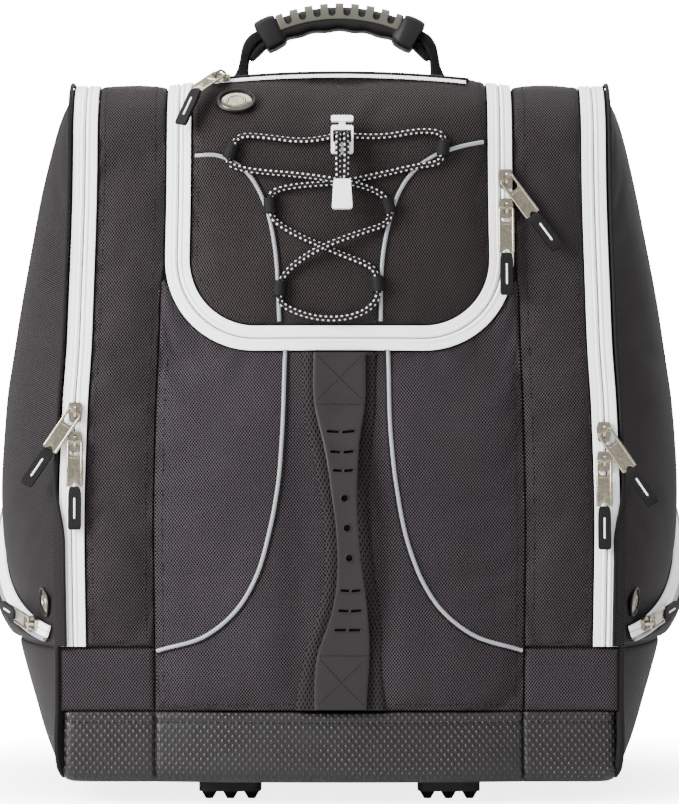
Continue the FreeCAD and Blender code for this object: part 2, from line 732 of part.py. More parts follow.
def cord_loop(x, z, tilt):
    """A short webbing tunnel sewn to the lid, open at both ends for the cord."""
    inner = CORD_R + LOOP_CLEAR
    outer = inner + LOOP_WALL
    low, half = 0.7 - LOW_D, LOOP_LONG / 2
    arch = box(-outer, outer, low, outer, -half, half)
    arch = arch.cut(box(-inner, inner, low - 1, inner, -half - 1, half + 1))
    return loop_seat(x, z, tilt, arch)


def lock_block(x0, x1, d0, d1, z0, z1):
    """A block in the cord lock's own frame, square to the front at the cord slot."""
    block = box(x0, x1, d0, d1, z0 - CORD_SLOT, z1 - CORD_SLOT)
    block.Placement = seat(on_front(LOCK_X, CORD_SLOT), FRONT_UP, FRONT_OUT)
    return block


def square_edges(solid):
    return [e for e in solid.Edges if abs(e.tangentAt(e.FirstParameter).dot(FRONT_OUT)) > 0.9]


def cord_lock():
    """The lock's body, with a slot for the two strands and a bore for the button."""
    body = lock_block(-LOCK_HALF, LOCK_HALF, LOCK_D0, LOCK_D1, LOCK_LOW, LOCK_HIGH)
    body = body.makeFillet(1.5, square_edges(body))
    slot = lock_block(-SLOT_HALF, SLOT_HALF, LOCK_D0 - 1, LOCK_D1 + 1,
                      CORD_SLOT - SLOT_BELOW, CORD_SLOT + SLOT_ABOVE)
    bore = lock_block(-2.4, 2.4, LOCK_D0 + 1.2, LOCK_D1 - 1.2, CORD_SLOT, LOCK_HIGH + 1)
    return body.cut(slot).cut(bore)


def cord_lock_button():
    """The lock's T-shaped button, held off the cord by its spring."""
    low = LOCK_HIGH + LOCK_TRAVEL + 0.5
    bar = lock_block(-LOCK_HALF, LOCK_HALF, LOCK_D0, LOCK_D1, low, low + 3.6)
    bar = bar.makeFillet(1.2, square_edges(bar))
    stem = lock_block(-2.0, 2.0, LOCK_D0 + 1.6, LOCK_D1 - 1.6, LOCK_HIGH - 0.8, low + 1)
    return bar.fuse(stem).removeSplitter()


def cord_end():
    """The moulded end the two strands run into, a little wider at its foot."""
    high, low = END_HIGH - CORD_SLOT, END_LOW - CORD_SLOT
    outline = [Vector(-5.2, END_D0, high), Vector(5.2, END_D0, high),
               Vector(6.3, END_D0, low), Vector(-6.3, END_D0, low)]
    body = polygon_prism(outline, Y_AXIS * (END_D1 - END_D0))
    body = body.makeFillet(1.4, upright_edges(body))
    body.Placement = seat(on_front(LOCK_X, CORD_SLOT), FRONT_UP, FRONT_OUT)
    return body


# ---- The top handle ---------------------------------------------------------------------

GRIP_CENTRE = Vector(0, Y_HANDLE, GRIP_Z - GRIP_R)


def grip_sweep(r_in, r_out, y_half, half_angle, start=0.0):
    """A block bent along the grip's arc, between two radii and two angles from upright."""
    corners = [(r_in, -y_half), (r_in, y_half), (r_out, y_half), (r_out, -y_half)]
    points = [GRIP_CENTRE + Vector(0, y, r) for r, y in corners]
    face = Part.Face(Part.makePolygon(points + [points[0]]))
    face.rotate(GRIP_CENTRE, Y_AXIS, start - half_angle)
    return face.revolve(GRIP_CENTRE, Y_AXIS, 2 * half_angle)


def handle_grip():
    half_angle = math.degrees(GRIP_HALF / GRIP_R)
    half = GRIP_TALL / 2
    body = grip_sweep(GRIP_R - half, GRIP_R + half, GRIP_DEEP / 2, half_angle)
    long_edges = [e for e in body.Edges if e.Curve.TypeId == "Part::GeomCircle"]
    body = body.makeFillet(4.5, long_edges)
    cavity = grip_sweep(GRIP_R - 2.6, GRIP_R + 2.6, WEB_WIDE / 2 + 0.6, half_angle + 2)
    for side in (-1, 1):
        recess = grip_sweep(GRIP_R - 1.0, GRIP_R + 7.0, 3.2, INLAY_DEG + 0.4)
        recess.translate(Y_AXIS * side * (GRIP_DEEP / 2 + 1.4))
        body = body.cut(recess)
    return body.cut(cavity)


def handle_inlay():
    """Ladder-shaped strips set into the front and back of the grip."""
    strips = []
    for side in (-1, 1):
        strip = grip_sweep(GRIP_R - 0.6, GRIP_R + 6.6, 1.2, INLAY_DEG)
        strip.translate(Y_AXIS * side * (GRIP_DEEP / 2 - 0.2))
        for k in range(8):
            window = grip_sweep(GRIP_R + 0.8, GRIP_R + 5.2, GRIP_DEEP, 1.6, (k - 3.5) * 5.2)
            strip = strip.cut(window)
        strips.append(strip)
    return Part.makeCompound(strips)


def handle_webbing():
    """One webbing strap through the grip, down to a folded roll at each foot."""
    half_angle = math.degrees(GRIP_HALF / GRIP_R) + 2.0
    through = grip_sweep(GRIP_R - WEB_THICK / 2, GRIP_R + WEB_THICK / 2, WEB_WIDE / 2, half_angle)
    turn = math.radians(half_angle)
    along = Vector(math.cos(turn), 0, -math.sin(turn))
    out = Vector(math.sin(turn), 0, math.cos(turn))
    end = Vector(GRIP_CENTRE.x, 0, GRIP_CENTRE.z) + out * GRIP_R - along * 1.5
    foot = Vector(FOOT_X, 0, PIVOT_Z)
    top_out, top_in = end + out * WEB_THICK / 2, end - out * WEB_THICK / 2
    outline = [top_in, top_out, foot + X_AXIS * LEG_FOOT_HALF, foot - X_AXIS * LEG_FOOT_HALF]
    leg = polygon_prism([p - Y_AXIS * FAR for p in outline], Y_AXIS * 2 * FAR)
    right_edge = [(3, PIVOT_Z), (WEB_WIDE / 2, PIVOT_Z + LEG_TAPER), (WEB_WIDE / 2, GRIP_Z + 30)]
    taper = [Vector(0, Y_HANDLE + y, z) for y, z in right_edge]
    taper += [Vector(0, Y_HANDLE - y, z) for y, z in reversed(right_edge)]
    leg = leg.common(polygon_prism(taper, X_AXIS * FAR))
    roll = Part.makeCylinder(
        ROLL_R, ROLL_LONG, Vector(FOOT_X - ROLL_LONG / 2, Y_HANDLE, PIVOT_Z), X_AXIS)
    legs = leg.fuse(roll)
    return through.fuse([legs, mirrored(legs)]).removeSplitter()


def handle_anchors():
    """The sewn patches on the top that the handle's legs turn in."""
    patch = crown_band(0.5, 2.0, FOOT_X - PATCH_HALF_X, FOOT_X + PATCH_HALF_X)
    near, far = Y_HANDLE - PATCH_HALF_Y, Y_HANDLE + PATCH_HALF_Y
    return both(patch.common(box(-FAR, FAR, near, far, ROUND_Z, FAR)))


# ---- Doors and their pockets ------------------------------------------------------------

DOOR_LEVELS = [(Z_HINGE + 0.6, 36.1)] + SIDE_BULGE[4:]
POCKET_INSET = 12.0  # how far the pocket stays from the side's seams


def door():
    """The bulging side panel, kept clear of the piping along its corner seam."""
    shell = side_shell(DOOR_LEVELS).fuse(side_top())
    return shell.cut(flat_band(0.4, 20.0, X_CORNER - 5, X_CORNER + 1.9, 0, 0))


def door_layer(inner, outer_end, outer_middle, z_top):
    """A layer over a door, clear of it by an inner gap."""
    levels = [(Z_HINGE + 1.5, 36.2)] + [level for level in SIDE_BULGE[4:] if level[0] < z_top]
    levels.append((z_top, bulge_at(z_top)))
    rings = []
    for z, bulge in levels:
        outer = side_arc(z, bulge, POCKET_INSET, outer_end, outer_middle)
        under = side_arc(z, bulge, POCKET_INSET, inner, inner)
        rings.append(ring(outer, under))
    return Part.makeLoft(rings, True, False)


def bulge_at(z):
    for (z0, b0), (z1, b1) in zip(SIDE_BULGE, SIDE_BULGE[1:]):
        if z0 <= z <= z1:
            return b0 + (b1 - b0) * (z - z0) / (z1 - z0)
    return SIDE_BULGE[-1][1]


def side_pocket():
    low = Z_HINGE + 2.5
    front, sag, back = (Vector(0, *p) for p in (POCKET_FRONT, POCKET_SAG, POCKET_BACK))
    corner_front, corner_back = Vector(0, front.y, low), Vector(0, back.y, low)
    face = loop_face([
        arc(front, sag, back),
        line(back, corner_back),
        line(corner_back, corner_front),
        line(corner_front, front),
    ])
    layer = door_layer(POCKET_CLEAR, POCKET_CLEAR + 3.0, POCKET_DEPTH, 258.0)
    return layer.common(face.extrude(X_AXIS * FAR))


def side_pocket_zip():
    layer = door_layer(POCKET_CLEAR, POCKET_CLEAR + 1.4, POCKET_CLEAR + 1.4, 272.0)
    return layer.common(pocket_region(0.8, 13.0))


def side_point(y, z, extra):
    return Vector(side_x(y, z, bulge_at(z)) + extra, y, z)


POCKET_SLIDER_Y, POCKET_SLIDER_Z = -140.0, 107.5


def pocket_seat():
    """A side pocket's slider at the front end of its zipper, pointing down the zipper."""
    y, z, extra = POCKET_SLIDER_Y, POCKET_SLIDER_Z, POCKET_CLEAR + 2.2
    here = side_point(y, z, extra)
    run_y = side_point(y + 1, z, extra) - here
    run_z = side_point(y, z + 1, extra) - here
    along = (run_y * -1.0 + run_z * -0.16).normalize()
    out = run_y.cross(run_z).normalize()
    if out.x < 0:
        out = out * -1
    return seat(here, along, out - along * out.dot(along))


def lid_pocket_seat():
    tilt = math.radians(POCKET_ZIP_TILT)
    out = Vector(0, -math.sin(tilt), math.cos(tilt))
    x = -POCKET_ZIP_HALF + 7
    return seat(ROUND + X_AXIS * x + out * (R_FRONT + crown(x) + 2.3), X_AXIS, out)


def lid_pocket_zip():
    face = crown_face(0.6, 1.8, -POCKET_ZIP_HALF, POCKET_ZIP_HALF)
    face.translate(FRONT_UP * FRONT_RUN)
    start = turned(face, ROUND_DEG - POCKET_ZIP_TILT - 9.5)
    return start.revolve(ROUND, X_AXIS, -19.0)


# ---- Build ------------------------------------------------------------------------------


def front_seat(x, z, tilt_deg=0.0):
    """A slider's seat on a front tape, leaning sideways with the crown where needed."""
    lean = math.radians(tilt_deg)
    out = FRONT_OUT * math.cos(lean) + X_AXIS * math.sin(lean)
    return seat(on_front(x, z, TAPE_OUT + 0.2), FRONT_UP, out)


def slider_and_pull(name, where, swing=0.0, tip=0.0, tail_bend=0.0, bail_turn=0.0, flip=False):
    slider, pull = slider_at(where, bail_turn), pull_at(where, swing, tip, tail_bend)
    if flip:
        slider, pull = mirrored(slider), mirrored(pull)
    export(name + "_slider", slider)
    export(name + "_pull", pull)


def sided(name, shape):
    export(name + "_right", shape)
    export(name + "_left", mirrored(shape))


export("base_tub", base_tub())
export("base_board", box(-164, 164, -158, 146, Z_FEET + SKIN + GAP, Z_FEET + SKIN + 3.5))
export("rubber_feet", rubber_feet())
export("dividers", both(divider(X_DIVIDER)))
export("lower_corner_panels", lower_corner_panels())
export("front_panel", centre_panel())
export("gusset_panels", both(flat_band(-SKIN, 0, X_SEAM + GAP, X_BOOT_ZIP - TAPE - 0.9)))
export("top_panel", top_panel())
export("back_panel", back_panel())
export("back_pads", back_pads())
export("shoulder_straps", shoulder_straps())
export("strap_webbing", strap_webbing())
export("ladder_locks", ladder_locks())
export("handle_anchors", handle_anchors())
export("side_walls", both(side_shell(SIDE_BULGE[:4])))

boot_inner = (X_BOOT_ZIP - 0.4 - TAPE, X_BOOT_ZIP - 0.4)
boot_outer = (X_BOOT_ZIP + 0.4, X_BOOT_ZIP + 0.4 + TAPE)
export("boot_zip_tapes", both(flat_band(TAPE_IN, TAPE_OUT, *boot_inner)))
sided("door", door())
sided("door_zip_tape", flat_band(TAPE_IN, TAPE_OUT, *boot_outer))
sided("door_piping", flat_band(0.9, 2.9, X_CORNER - 1.2, X_CORNER + 1.4))
sided("side_pocket", side_pocket())
sided("side_pocket_zip", side_pocket_zip())

whole_tape = crown_band(TAPE_IN, TAPE_OUT)
frame = whole_tape.common(lid_outline(TAPE + 0.4).cut(lid_outline(0.4)))
flap = whole_tape.common(lid_outline(-0.4).cut(lid_outline(-TAPE - 0.4)))
export("lid_zip_frame", frame)
export("lid_zip_flap", flap)
export("lid_panel", crown_band(-SKIN, 0).common(lid_outline(LID_FACE_STEP)))
export("lid_pocket_zip", lid_pocket_zip())
export("lid_piping", lid_piping())
export("cord_loops", Part.makeCompound([cord_loop(*place) for place in LOOPS]))
export("lacing_cord", tube([on_front(*place) for place in LACING], CORD_R))
export("cord_lock", cord_lock())
export("cord_lock_button", cord_lock_button())
export("cord_end", cord_end())

export("front_piping", Part.makeCompound([piping(LOW_PIPING_LEFT), piping(LOW_PIPING_RIGHT)]))
export("carry_strap", carry_strap())
export("carry_strap_mesh", carry_mesh())

export("handle_webbing", handle_webbing())
export("handle_grip", handle_grip())
export("handle_inlay", handle_inlay())

slider_and_pull("boot_left_upper", front_seat(-X_BOOT_ZIP, 237.0), swing=-34.0)
slider_and_pull("boot_left_lower", front_seat(-X_BOOT_ZIP, 219.0))
slider_and_pull("boot_right_upper", front_seat(X_BOOT_ZIP, 225.0), swing=34.0)
slider_and_pull("boot_right_lower", front_seat(X_BOOT_ZIP, 207.0))
slider_and_pull("lid_upper", front_seat(X_LID_ZIP, 380.0, 4.0), swing=36.0, tip=4.0)
slider_and_pull("lid_lower", front_seat(X_LID_ZIP, 362.0, 4.0), tip=2.0)
slider_and_pull("lid_pocket", lid_pocket_seat(), 60.0, -5.0, -36.0, bail_turn=32.0)
slider_and_pull("side_pocket_right", pocket_seat())
slider_and_pull("side_pocket_left", pocket_seat(), flip=True)
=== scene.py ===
"""Ski boot bag: the shown model, in metres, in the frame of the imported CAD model.

The ribbon of panels up the front, over the top and down the back is one surface with an
offset, and so is each bulging side. Every soft piece is a grid on one of them.
"""

import math

import bmesh
import bpy
import numpy as np
from mathutils import Matrix, Vector, noise
from mathutils.bvhtree import BVHTree


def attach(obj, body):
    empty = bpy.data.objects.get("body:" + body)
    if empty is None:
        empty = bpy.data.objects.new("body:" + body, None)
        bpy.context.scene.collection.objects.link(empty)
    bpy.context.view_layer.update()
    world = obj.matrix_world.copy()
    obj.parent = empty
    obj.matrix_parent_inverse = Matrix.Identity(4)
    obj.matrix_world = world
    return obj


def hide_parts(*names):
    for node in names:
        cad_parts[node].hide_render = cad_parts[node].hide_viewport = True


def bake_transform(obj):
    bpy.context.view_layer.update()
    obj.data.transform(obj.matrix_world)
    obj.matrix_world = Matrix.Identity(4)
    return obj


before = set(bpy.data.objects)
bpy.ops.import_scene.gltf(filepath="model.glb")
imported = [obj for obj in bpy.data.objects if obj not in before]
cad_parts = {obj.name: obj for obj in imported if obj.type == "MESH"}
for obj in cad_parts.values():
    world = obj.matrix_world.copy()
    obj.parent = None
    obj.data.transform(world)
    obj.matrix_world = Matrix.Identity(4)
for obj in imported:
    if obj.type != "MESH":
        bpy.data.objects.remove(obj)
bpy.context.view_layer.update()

MM = 0.001

# ---- Sizes shared with the CAD ------------------------------------------------------------

LEAN = math.radians(4.9)
Z_BAND, Z_HINGE, Z_TOP = 0.055, 0.094, 0.440
Y_FRONT, Y_BACK, Y_LID_HINGE = -0.172, 0.156, 0.028
R_FRONT, R_BACK = 0.040, 0.030
X_SEAM, X_BOOT_ZIP, X_CORNER, X_LID_ZIP = 0.112, 0.1616, 0.171, 0.102
SIDE_WIDTH = 0.330
CROWN = 0.008
TAPE = 0.0072
MIDDLE = np.array((0, 0, 0.23))
LID_LOW, LID_CORNER = 0.282, 0.050
SIDE_BULGE = (
    (12.5, 7.0), (30.0, 15.0), (60.0, 27.0), (93.5, 36.0), (150.0, 42.0), (200.0, 43.5),
    (277.0, 40.0), (340.0, 32.0), (400.0, 18.5), (417.0, 13.0), (430.0, 8.0), (440.0, 3.0),
)
POCKET_FRONT, POCKET_SAG, POCKET_BACK = (-0.158, 0.098), (-0.004, 0.150), (0.110, 0.250)

CROWN_R = (X_SEAM**2 + CROWN**2) / (2 * CROWN)
UP = Vector((0, math.sin(LEAN), math.cos(LEAN)))
OUT = Vector((0, -math.cos(LEAN), math.sin(LEAN)))
ROUND_Z = Z_TOP - R_FRONT
ROUND_Y = Y_FRONT + (ROUND_Z - Z_BAND) * math.tan(LEAN) + R_FRONT / math.cos(LEAN)
BACK_Y, BACK_Z = Y_BACK - R_BACK, Z_TOP - R_BACK

# Distances along the ribbon from the top edge of the base band, in metres
S_ROUND = (Vector((0, ROUND_Y, ROUND_Z)) + OUT * R_FRONT - Vector((0, Y_FRONT, Z_BAND))).length
S_TOP = S_ROUND + R_FRONT * (math.pi / 2 - LEAN)
S_BACK_BEND = S_TOP + BACK_Y - ROUND_Y
S_BACK = S_BACK_BEND + R_BACK * math.pi / 2


def s_front(z):
    return (z - Z_BAND) / math.cos(LEAN)


def s_over(y):
    return S_TOP + y - ROUND_Y


def s_behind(z):
    return S_BACK + BACK_Z - z


# ---- Surfaces -----------------------------------------------------------------------------


def crown(x):
    inside = np.minimum(np.abs(x), X_SEAM)
    return np.sqrt(CROWN_R**2 - inside**2) - (CROWN_R - CROWN)


def ribbon(x, s, d):
    """Points of the ribbon: across, along from the base band, and out of the fabric's face."""
    x, s, d = np.broadcast_arrays(np.asarray(x, float), np.asarray(s, float), np.asarray(d, float))
    h = crown(x) + d
    bend = LEAN + (s - S_ROUND) / R_FRONT
    back = (s - S_BACK_BEND) / R_BACK
    where = [s < S_ROUND, s < S_TOP, s < S_BACK_BEND, s < S_BACK]
    y = np.select(where, [
        Y_FRONT + UP.y * s + OUT.y * h,
        ROUND_Y - np.cos(bend) * (R_FRONT + h),
        ROUND_Y + s - S_TOP,
        BACK_Y + np.sin(back) * (R_BACK + h),
    ], Y_BACK + h)
    z = np.select(where, [
        Z_BAND + UP.z * s + OUT.z * h,
        ROUND_Z + np.sin(bend) * (R_FRONT + h),
        Z_TOP + h,
        BACK_Z + np.cos(back) * (R_BACK + h),
    ], BACK_Z - (s - S_BACK))
    return tapered(np.stack([x, y, z], -1))


def hermite(t, gap, start, end, start_slope, end_slope):
    """A smooth step from start to end over a gap, at the shares t of it."""
    return ((2 * t**3 - 3 * t**2 + 1) * start + (t**3 - 2 * t**2 + t) * gap * start_slope
            + (3 * t**2 - 2 * t**3) * end + (t**3 - t**2) * gap * end_slope)


def smooth_table(table):
    """A smooth curve through (place, value) pairs in millimetres, for arrays in metres."""
    at = np.array([a for a, _ in table]) * MM
    value = np.array([b for _, b in table]) * MM
    slope = np.gradient(value, at)

    def curve(z):
        z = np.clip(z, at[0], at[-1])
        k = np.clip(np.searchsorted(at, z) - 1, 0, len(at) - 2)
        step = at[k + 1] - at[k]
        return hermite((z - at[k]) / step, step, value[k], value[k + 1], slope[k], slope[k + 1])

    return curve


# The cloth starts a little inside the CAD's bulge, which its swelling and lumps then fill
BULGE_SHARE = 0.955
bulge_at = smooth_table([(z, BULGE_SHARE * bulge) for z, bulge in SIDE_BULGE])

# How far the sides stand out of their straight line at the boot zippers, by height
TAPER = (
    (0.0, -7.0), (13.0, -4.4), (20.0, -1.2), (28.0, 0.0), (60.0, 0.2), (94.0, 0.6), (120.0, 1.2),
    (184.0, 2.0), (215.0, 1.2), (246.0, 0.0), (277.0, -2.0), (308.0, -3.1), (370.0, -4.9),
    (440.0, -5.2), (520.0, -5.2),
)
taper_at = smooth_table(TAPER)


def tapered(points):
    """Points drawn in or out sideways, as the filled bag is narrower at its top."""
    wide = 1 + taper_at(points[..., 2]) / X_BOOT_ZIP
    return np.concatenate([points[..., :1] * wide[..., None], points[..., 1:]], -1)


def profile_range(z):
    """The front and back of the ribbon's profile at a height."""
    z = np.asarray(z, float)
    front = Y_FRONT + (z - Z_BAND) * math.tan(LEAN)
    over = np.sqrt(np.maximum(R_FRONT**2 - (z - ROUND_Z) ** 2, 0))
    front = np.where(z > ROUND_Z + R_FRONT * math.sin(LEAN), ROUND_Y - over, front)
    behind = np.sqrt(np.maximum(R_BACK**2 - (z - BACK_Z) ** 2, 0))
    return front, np.where(z > BACK_Z, BACK_Y + behind, Y_BACK)


def side(y, z, d):
    """Points of the right side: depth, height and out of the fabric's face."""
    y, z, d = np.broadcast_arrays(np.asarray(y, float), np.asarray(z, float), np.asarray(d, float))
    front, back = profile_range(z)
    half = (back - front) / 2
    bulge = bulge_at(z)
    radius = (half**2 + bulge**2) / (2 * bulge)
    off = np.clip(y - (front + back) / 2, -half, half)
    x = X_CORNER + np.sqrt(radius**2 - off**2) - (radius - bulge)
    return tapered(np.stack([x + d, y, z], -1))


def side_share(t, z, d):
    """Points of the right side, by the share of the way from its front seam to its back one."""
    front, back = profile_range(z)
    return side(front + np.asarray(t) * (back - front), z, d)


def surface_normal(surface, a, b, d=0.0):
    """The unit normal of a surface, away from the middle of the bag."""
    step = 0.2 * MM
    along_a = surface(a + step, b, d) - surface(a - step, b, d)
    along_b = surface(a, b + step, d) - surface(a, b - step, d)
    normal = np.cross(along_a, along_b)
    normal /= np.linalg.norm(normal, axis=-1, keepdims=True)
    outward = surface(a, b, d) - MIDDLE
    flip = np.sum(normal * outward, -1, keepdims=True) < 0
    return np.where(flip, -normal, normal)


# ---- Mesh data ----------------------------------------------------------------------------
# A piece of mesh data is (points, faces, uv of each point in metres, material index of each face).


def grid_faces(rows, cols, first=0, wrap=False):
    across = cols if wrap else cols - 1
    faces = []
    for i in range(rows - 1):
        for j in range(across):
            k = (j + 1) % cols
            faces.append((first + i * cols + j, first + i * cols + k,
                          first + (i + 1) * cols + k, first + (i + 1) * cols + j))
    return faces


def grid_normals(points):
    along = np.gradient(points, axis=0)
    across = np.gradient(points, axis=1)
    normal = np.cross(across, along)
    return normal / np.maximum(np.linalg.norm(normal, axis=-1, keepdims=True), 1e-9)


def closed_shell(points, uv, thick, inner_material=1):
    """A grid of outside points given a thickness and closed round its rim."""
    rows, cols = points.shape[:2]
    normal = grid_normals(points)
    turn = -1 if np.sum(normal * (points - MIDDLE)) < 0 else 1
    inner = points - turn * normal * thick
    count = rows * cols
    top = grid_faces(rows, cols)
    under = [tuple(i + count for i in reversed(face)) for face in top]
    border = [(0, j) for j in range(cols)] + [(i, cols - 1) for i in range(1, rows)]
    border += [(rows - 1, j) for j in range(cols - 2, -1, -1)]
    border += [(i, 0) for i in range(rows - 2, 0, -1)]
    ring = [i * cols + j for i, j in border]
    rim = []
    for here, after in zip(ring, ring[1:] + ring[:1]):
        rim.append((after, here, here + count, after + count))
    faces = top + under + rim
    if turn < 0:
        faces = [tuple(reversed(face)) for face in faces]
    points = np.concatenate([points.reshape(-1, 3), inner.reshape(-1, 3)])
    uv = np.concatenate([uv.reshape(-1, 2)] * 2)
    material = [0] * len(top) + [inner_material] * len(under) + [0] * len(rim)
    return points, faces, uv, material


def run_lengths(points):
    """The distance of each point from the first, along a line of points."""
    gaps = np.linalg.norm(np.diff(points, axis=0), axis=1)
    return np.concatenate([[0], np.cumsum(gaps)])


def full_turn(count):
    """Evenly spaced angles round a circle."""
    return np.arange(count) * 2 * math.pi / count


def circles(first, second, turn):
    """Unit circles in the planes of two rows of vectors."""
    return first[:, None] * np.cos(turn)[None, :, None] + second[:, None] * np.sin(turn)[None, :, None]


def swept(rings, v_along, u_across=None, loop=False):
    """A closed band through rings of points, each ring a closed outline."""
    rings = np.asarray(rings, float)
    rows, cols = rings.shape[:2]
    if u_across is None:
        u_across = run_lengths(rings[0])
    faces = grid_faces(rows, cols, wrap=True)
    if loop:
        last = (rows - 1) * cols
        for j in range(cols):
            k = (j + 1) % cols
            faces.append((last + j, last + k, k, j))
    else:
        faces.append(tuple(reversed(range(cols))))
        faces.append(tuple(range((rows - 1) * cols, rows * cols)))
    centre = rings.mean(axis=(0, 1)) if loop else rings[0].mean(0)
    a, b, c = rings[0][0], rings[0][1], rings[1][0]
    if np.dot(np.cross(b - a, c - a), a - centre) < 0:
        faces = [tuple(reversed(face)) for face in faces]
    uv = np.stack(np.meshgrid(u_across, v_along), -1)
    return rings.reshape(-1, 3), faces, uv.reshape(-1, 2), [0] * len(faces)


def joined(parts):
    points, faces, uv, material, first = [], [], [], [], 0
    for part_points, part_faces, part_uv, part_material in parts:
        points.append(part_points)
        faces += [tuple(i + first for i in face) for face in part_faces]
        uv.append(part_uv)
        material += list(part_material)
        first += len(part_points)
    return np.concatenate(points), faces, np.concatenate(uv), material


def mirrored(part):
    points, faces, uv, material = part
    return points * (-1, 1, 1), [tuple(reversed(face)) for face in faces], uv * (-1, 1), material


def both_sides(part):
    return joined([part, mirrored(part)])


def with_material(part, index):
    return part[0], part[1], part[2], [index] * len(part[1])


def placed(part, matrix):
    points, faces, uv, material = part
    turned = points @ np.array(matrix.to_3x3()).T + np.array(matrix.translation)
    return turned, faces, uv, material


def new_object(name, data):
    made = bpy.data.objects.new(name, data)
    bpy.context.scene.collection.objects.link(made)
    return made


def make_mesh(name, part, materials):
    points, faces, uv, material = part
    mesh = bpy.data.meshes.new(name)
    mesh.from_pydata([tuple(p) for p in points], [], faces)
    layer = mesh.uv_layers.new(name="weave")
    corner = np.empty(len(mesh.loops), int)
    mesh.loops.foreach_get("vertex_index", corner)
    layer.data.foreach_set("uv", uv[corner].astype(np.float32).ravel())
    for mat in materials:
        mesh.materials.append(mat)
    mesh.polygons.foreach_set("material_index", material)
    mesh.polygons.foreach_set("use_smooth", [True] * len(faces))
    mesh.update()
    return mesh


SHARP_EDGE = math.radians(40)


def piece(name, part, materials, body, replaces=()):
    """One shown object, which rides on a CAD body, if it has one, and stands for CAD nodes."""
    materials = [materials] if isinstance(materials, bpy.types.Material) else list(materials)
    mesh = make_mesh(name, part, materials)
    mesh.set_sharp_from_angle(angle=SHARP_EDGE)
    made = new_object(name, mesh)
    if body:
        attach(made, body)
    if replaces:
        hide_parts(*replaces)
    return made


def spaced(length, step, edge=(0.0, 0.5, 1.2, 2.2, 3.6)):
    """Places along a length, closer together near its two ends."""
    edge = [e * MM for e in edge]
    inner = np.linspace(edge[-1], length - edge[-1], max(2, round(length / step)))
    return np.concatenate([edge[:-1], inner, [length - e for e in reversed(edge[:-1])]])


def rolled(e, radius=3.6 * MM, depth=2.6 * MM):
    """How far a panel's edge turns in to its seam, by the distance from that edge."""
    near = 1 - np.clip(e / radius, 0, 1)
    return -depth * (1 - np.sqrt(1 - near**2))


def lumps(points, seed, size, amount):
    """Smooth unevenness at points, from -amount to amount."""
    flat = points.reshape(-1, 3)
    shift = Vector((seed * 7.3, seed * 3.1, seed * 5.7))
    values = [noise.noise(Vector(p) / size + shift) for p in flat]
    return np.array(values).reshape(points.shape[:-1]) * amount


def smooth_step(value, low, high):
    t = np.clip((value - low) / (high - low), 0, 1)
    return t * t * (3 - 2 * t)


# ---- Cloth --------------------------------------------------------------------------------


CLOTH_FRAMES, CLOTH_STIFFNESS = 16, 8.0


def run_cloth(obj, pressure, slack, pin):
    """Steps a cloth simulation of obj and returns its points after it."""
    cloth = obj.modifiers.new("cloth", "CLOTH")
    settings = cloth.settings
    settings.quality = 6
    settings.mass = 0.2
    settings.tension_stiffness = CLOTH_STIFFNESS
    settings.compression_stiffness = CLOTH_STIFFNESS
    settings.shear_stiffness = CLOTH_STIFFNESS * 0.4
    settings.bending_stiffness = 0.6
    settings.use_pressure = True
    settings.uniform_pressure_force = pressure
    settings.shrink_min = -slack
    settings.effector_weights.gravity = 0.0
    settings.vertex_group_mass = pin
    cloth.collision_settings.use_collision = False
    cloth.collision_settings.use_self_collision = False
    cloth.point_cache.frame_start = 1
    cloth.point_cache.frame_end = CLOTH_FRAMES
    scene = bpy.context.scene
    for number in range(1, CLOTH_FRAMES + 1):
        scene.frame_set(number)
    graph = bpy.context.evaluated_depsgraph_get()
    settled = obj.evaluated_get(graph).to_mesh()
    points = np.empty(len(settled.vertices) * 3)
    settled.vertices.foreach_get("co", points)
    scene.frame_set(1)
    return points.reshape(-1, 3)


def settled_grid(points, pressure, slack, cap, relief=None):
    """A panel's grid after it has been blown up a little between its sewn edges."""
    rows, cols = points.shape[:2]
    faces = grid_faces(rows, cols)
    if np.sum(grid_normals(points) * grid_out(points)) < 0:
        faces = [tuple(reversed(face)) for face in faces]
    mesh = bpy.data.meshes.new("cloth")
    mesh.from_pydata([tuple(p) for p in points.reshape(-1, 3)], [], faces)
    obj = new_object("cloth", mesh)
    group = obj.vertex_groups.new(name="sewn")
    fixed = [i * cols + j for i in range(rows) for j in range(cols)
             if i in (0, 1, rows - 2, rows - 1) or j in (0, 1, cols - 2, cols - 1)]
    group.add(fixed, 1.0, "REPLACE")
    after = run_cloth(obj, pressure, slack, "sewn")
    bpy.data.objects.remove(obj)
    moved = after.reshape(points.shape) - points
    length = np.linalg.norm(moved, axis=-1, keepdims=True)
    moved *= cap * np.tanh(length / cap) / np.maximum(length, 1e-9)
    if relief is not None:
        moved *= relief[..., None]
    return points + moved


def grid_out(points):
    """Unit normals of a grid, away from the middle of the bag."""
    normal = grid_normals(points)
    flip = np.sum(normal * (points - MIDDLE)) < 0
    return -normal if flip else normal


def rim_fade(points):
    """0 at a grid's rim and 1 from nine steps in."""
    rows, cols = points.shape[:2]
    i = np.minimum(np.arange(rows), np.arange(rows)[::-1])[:, None]
    j = np.minimum(np.arange(cols), np.arange(cols)[::-1])[None, :]
    return np.clip((np.minimum(i, j) - 3) / 6, 0, 1)[..., None]


# ---- Materials ----------------------------------------------------------------------------


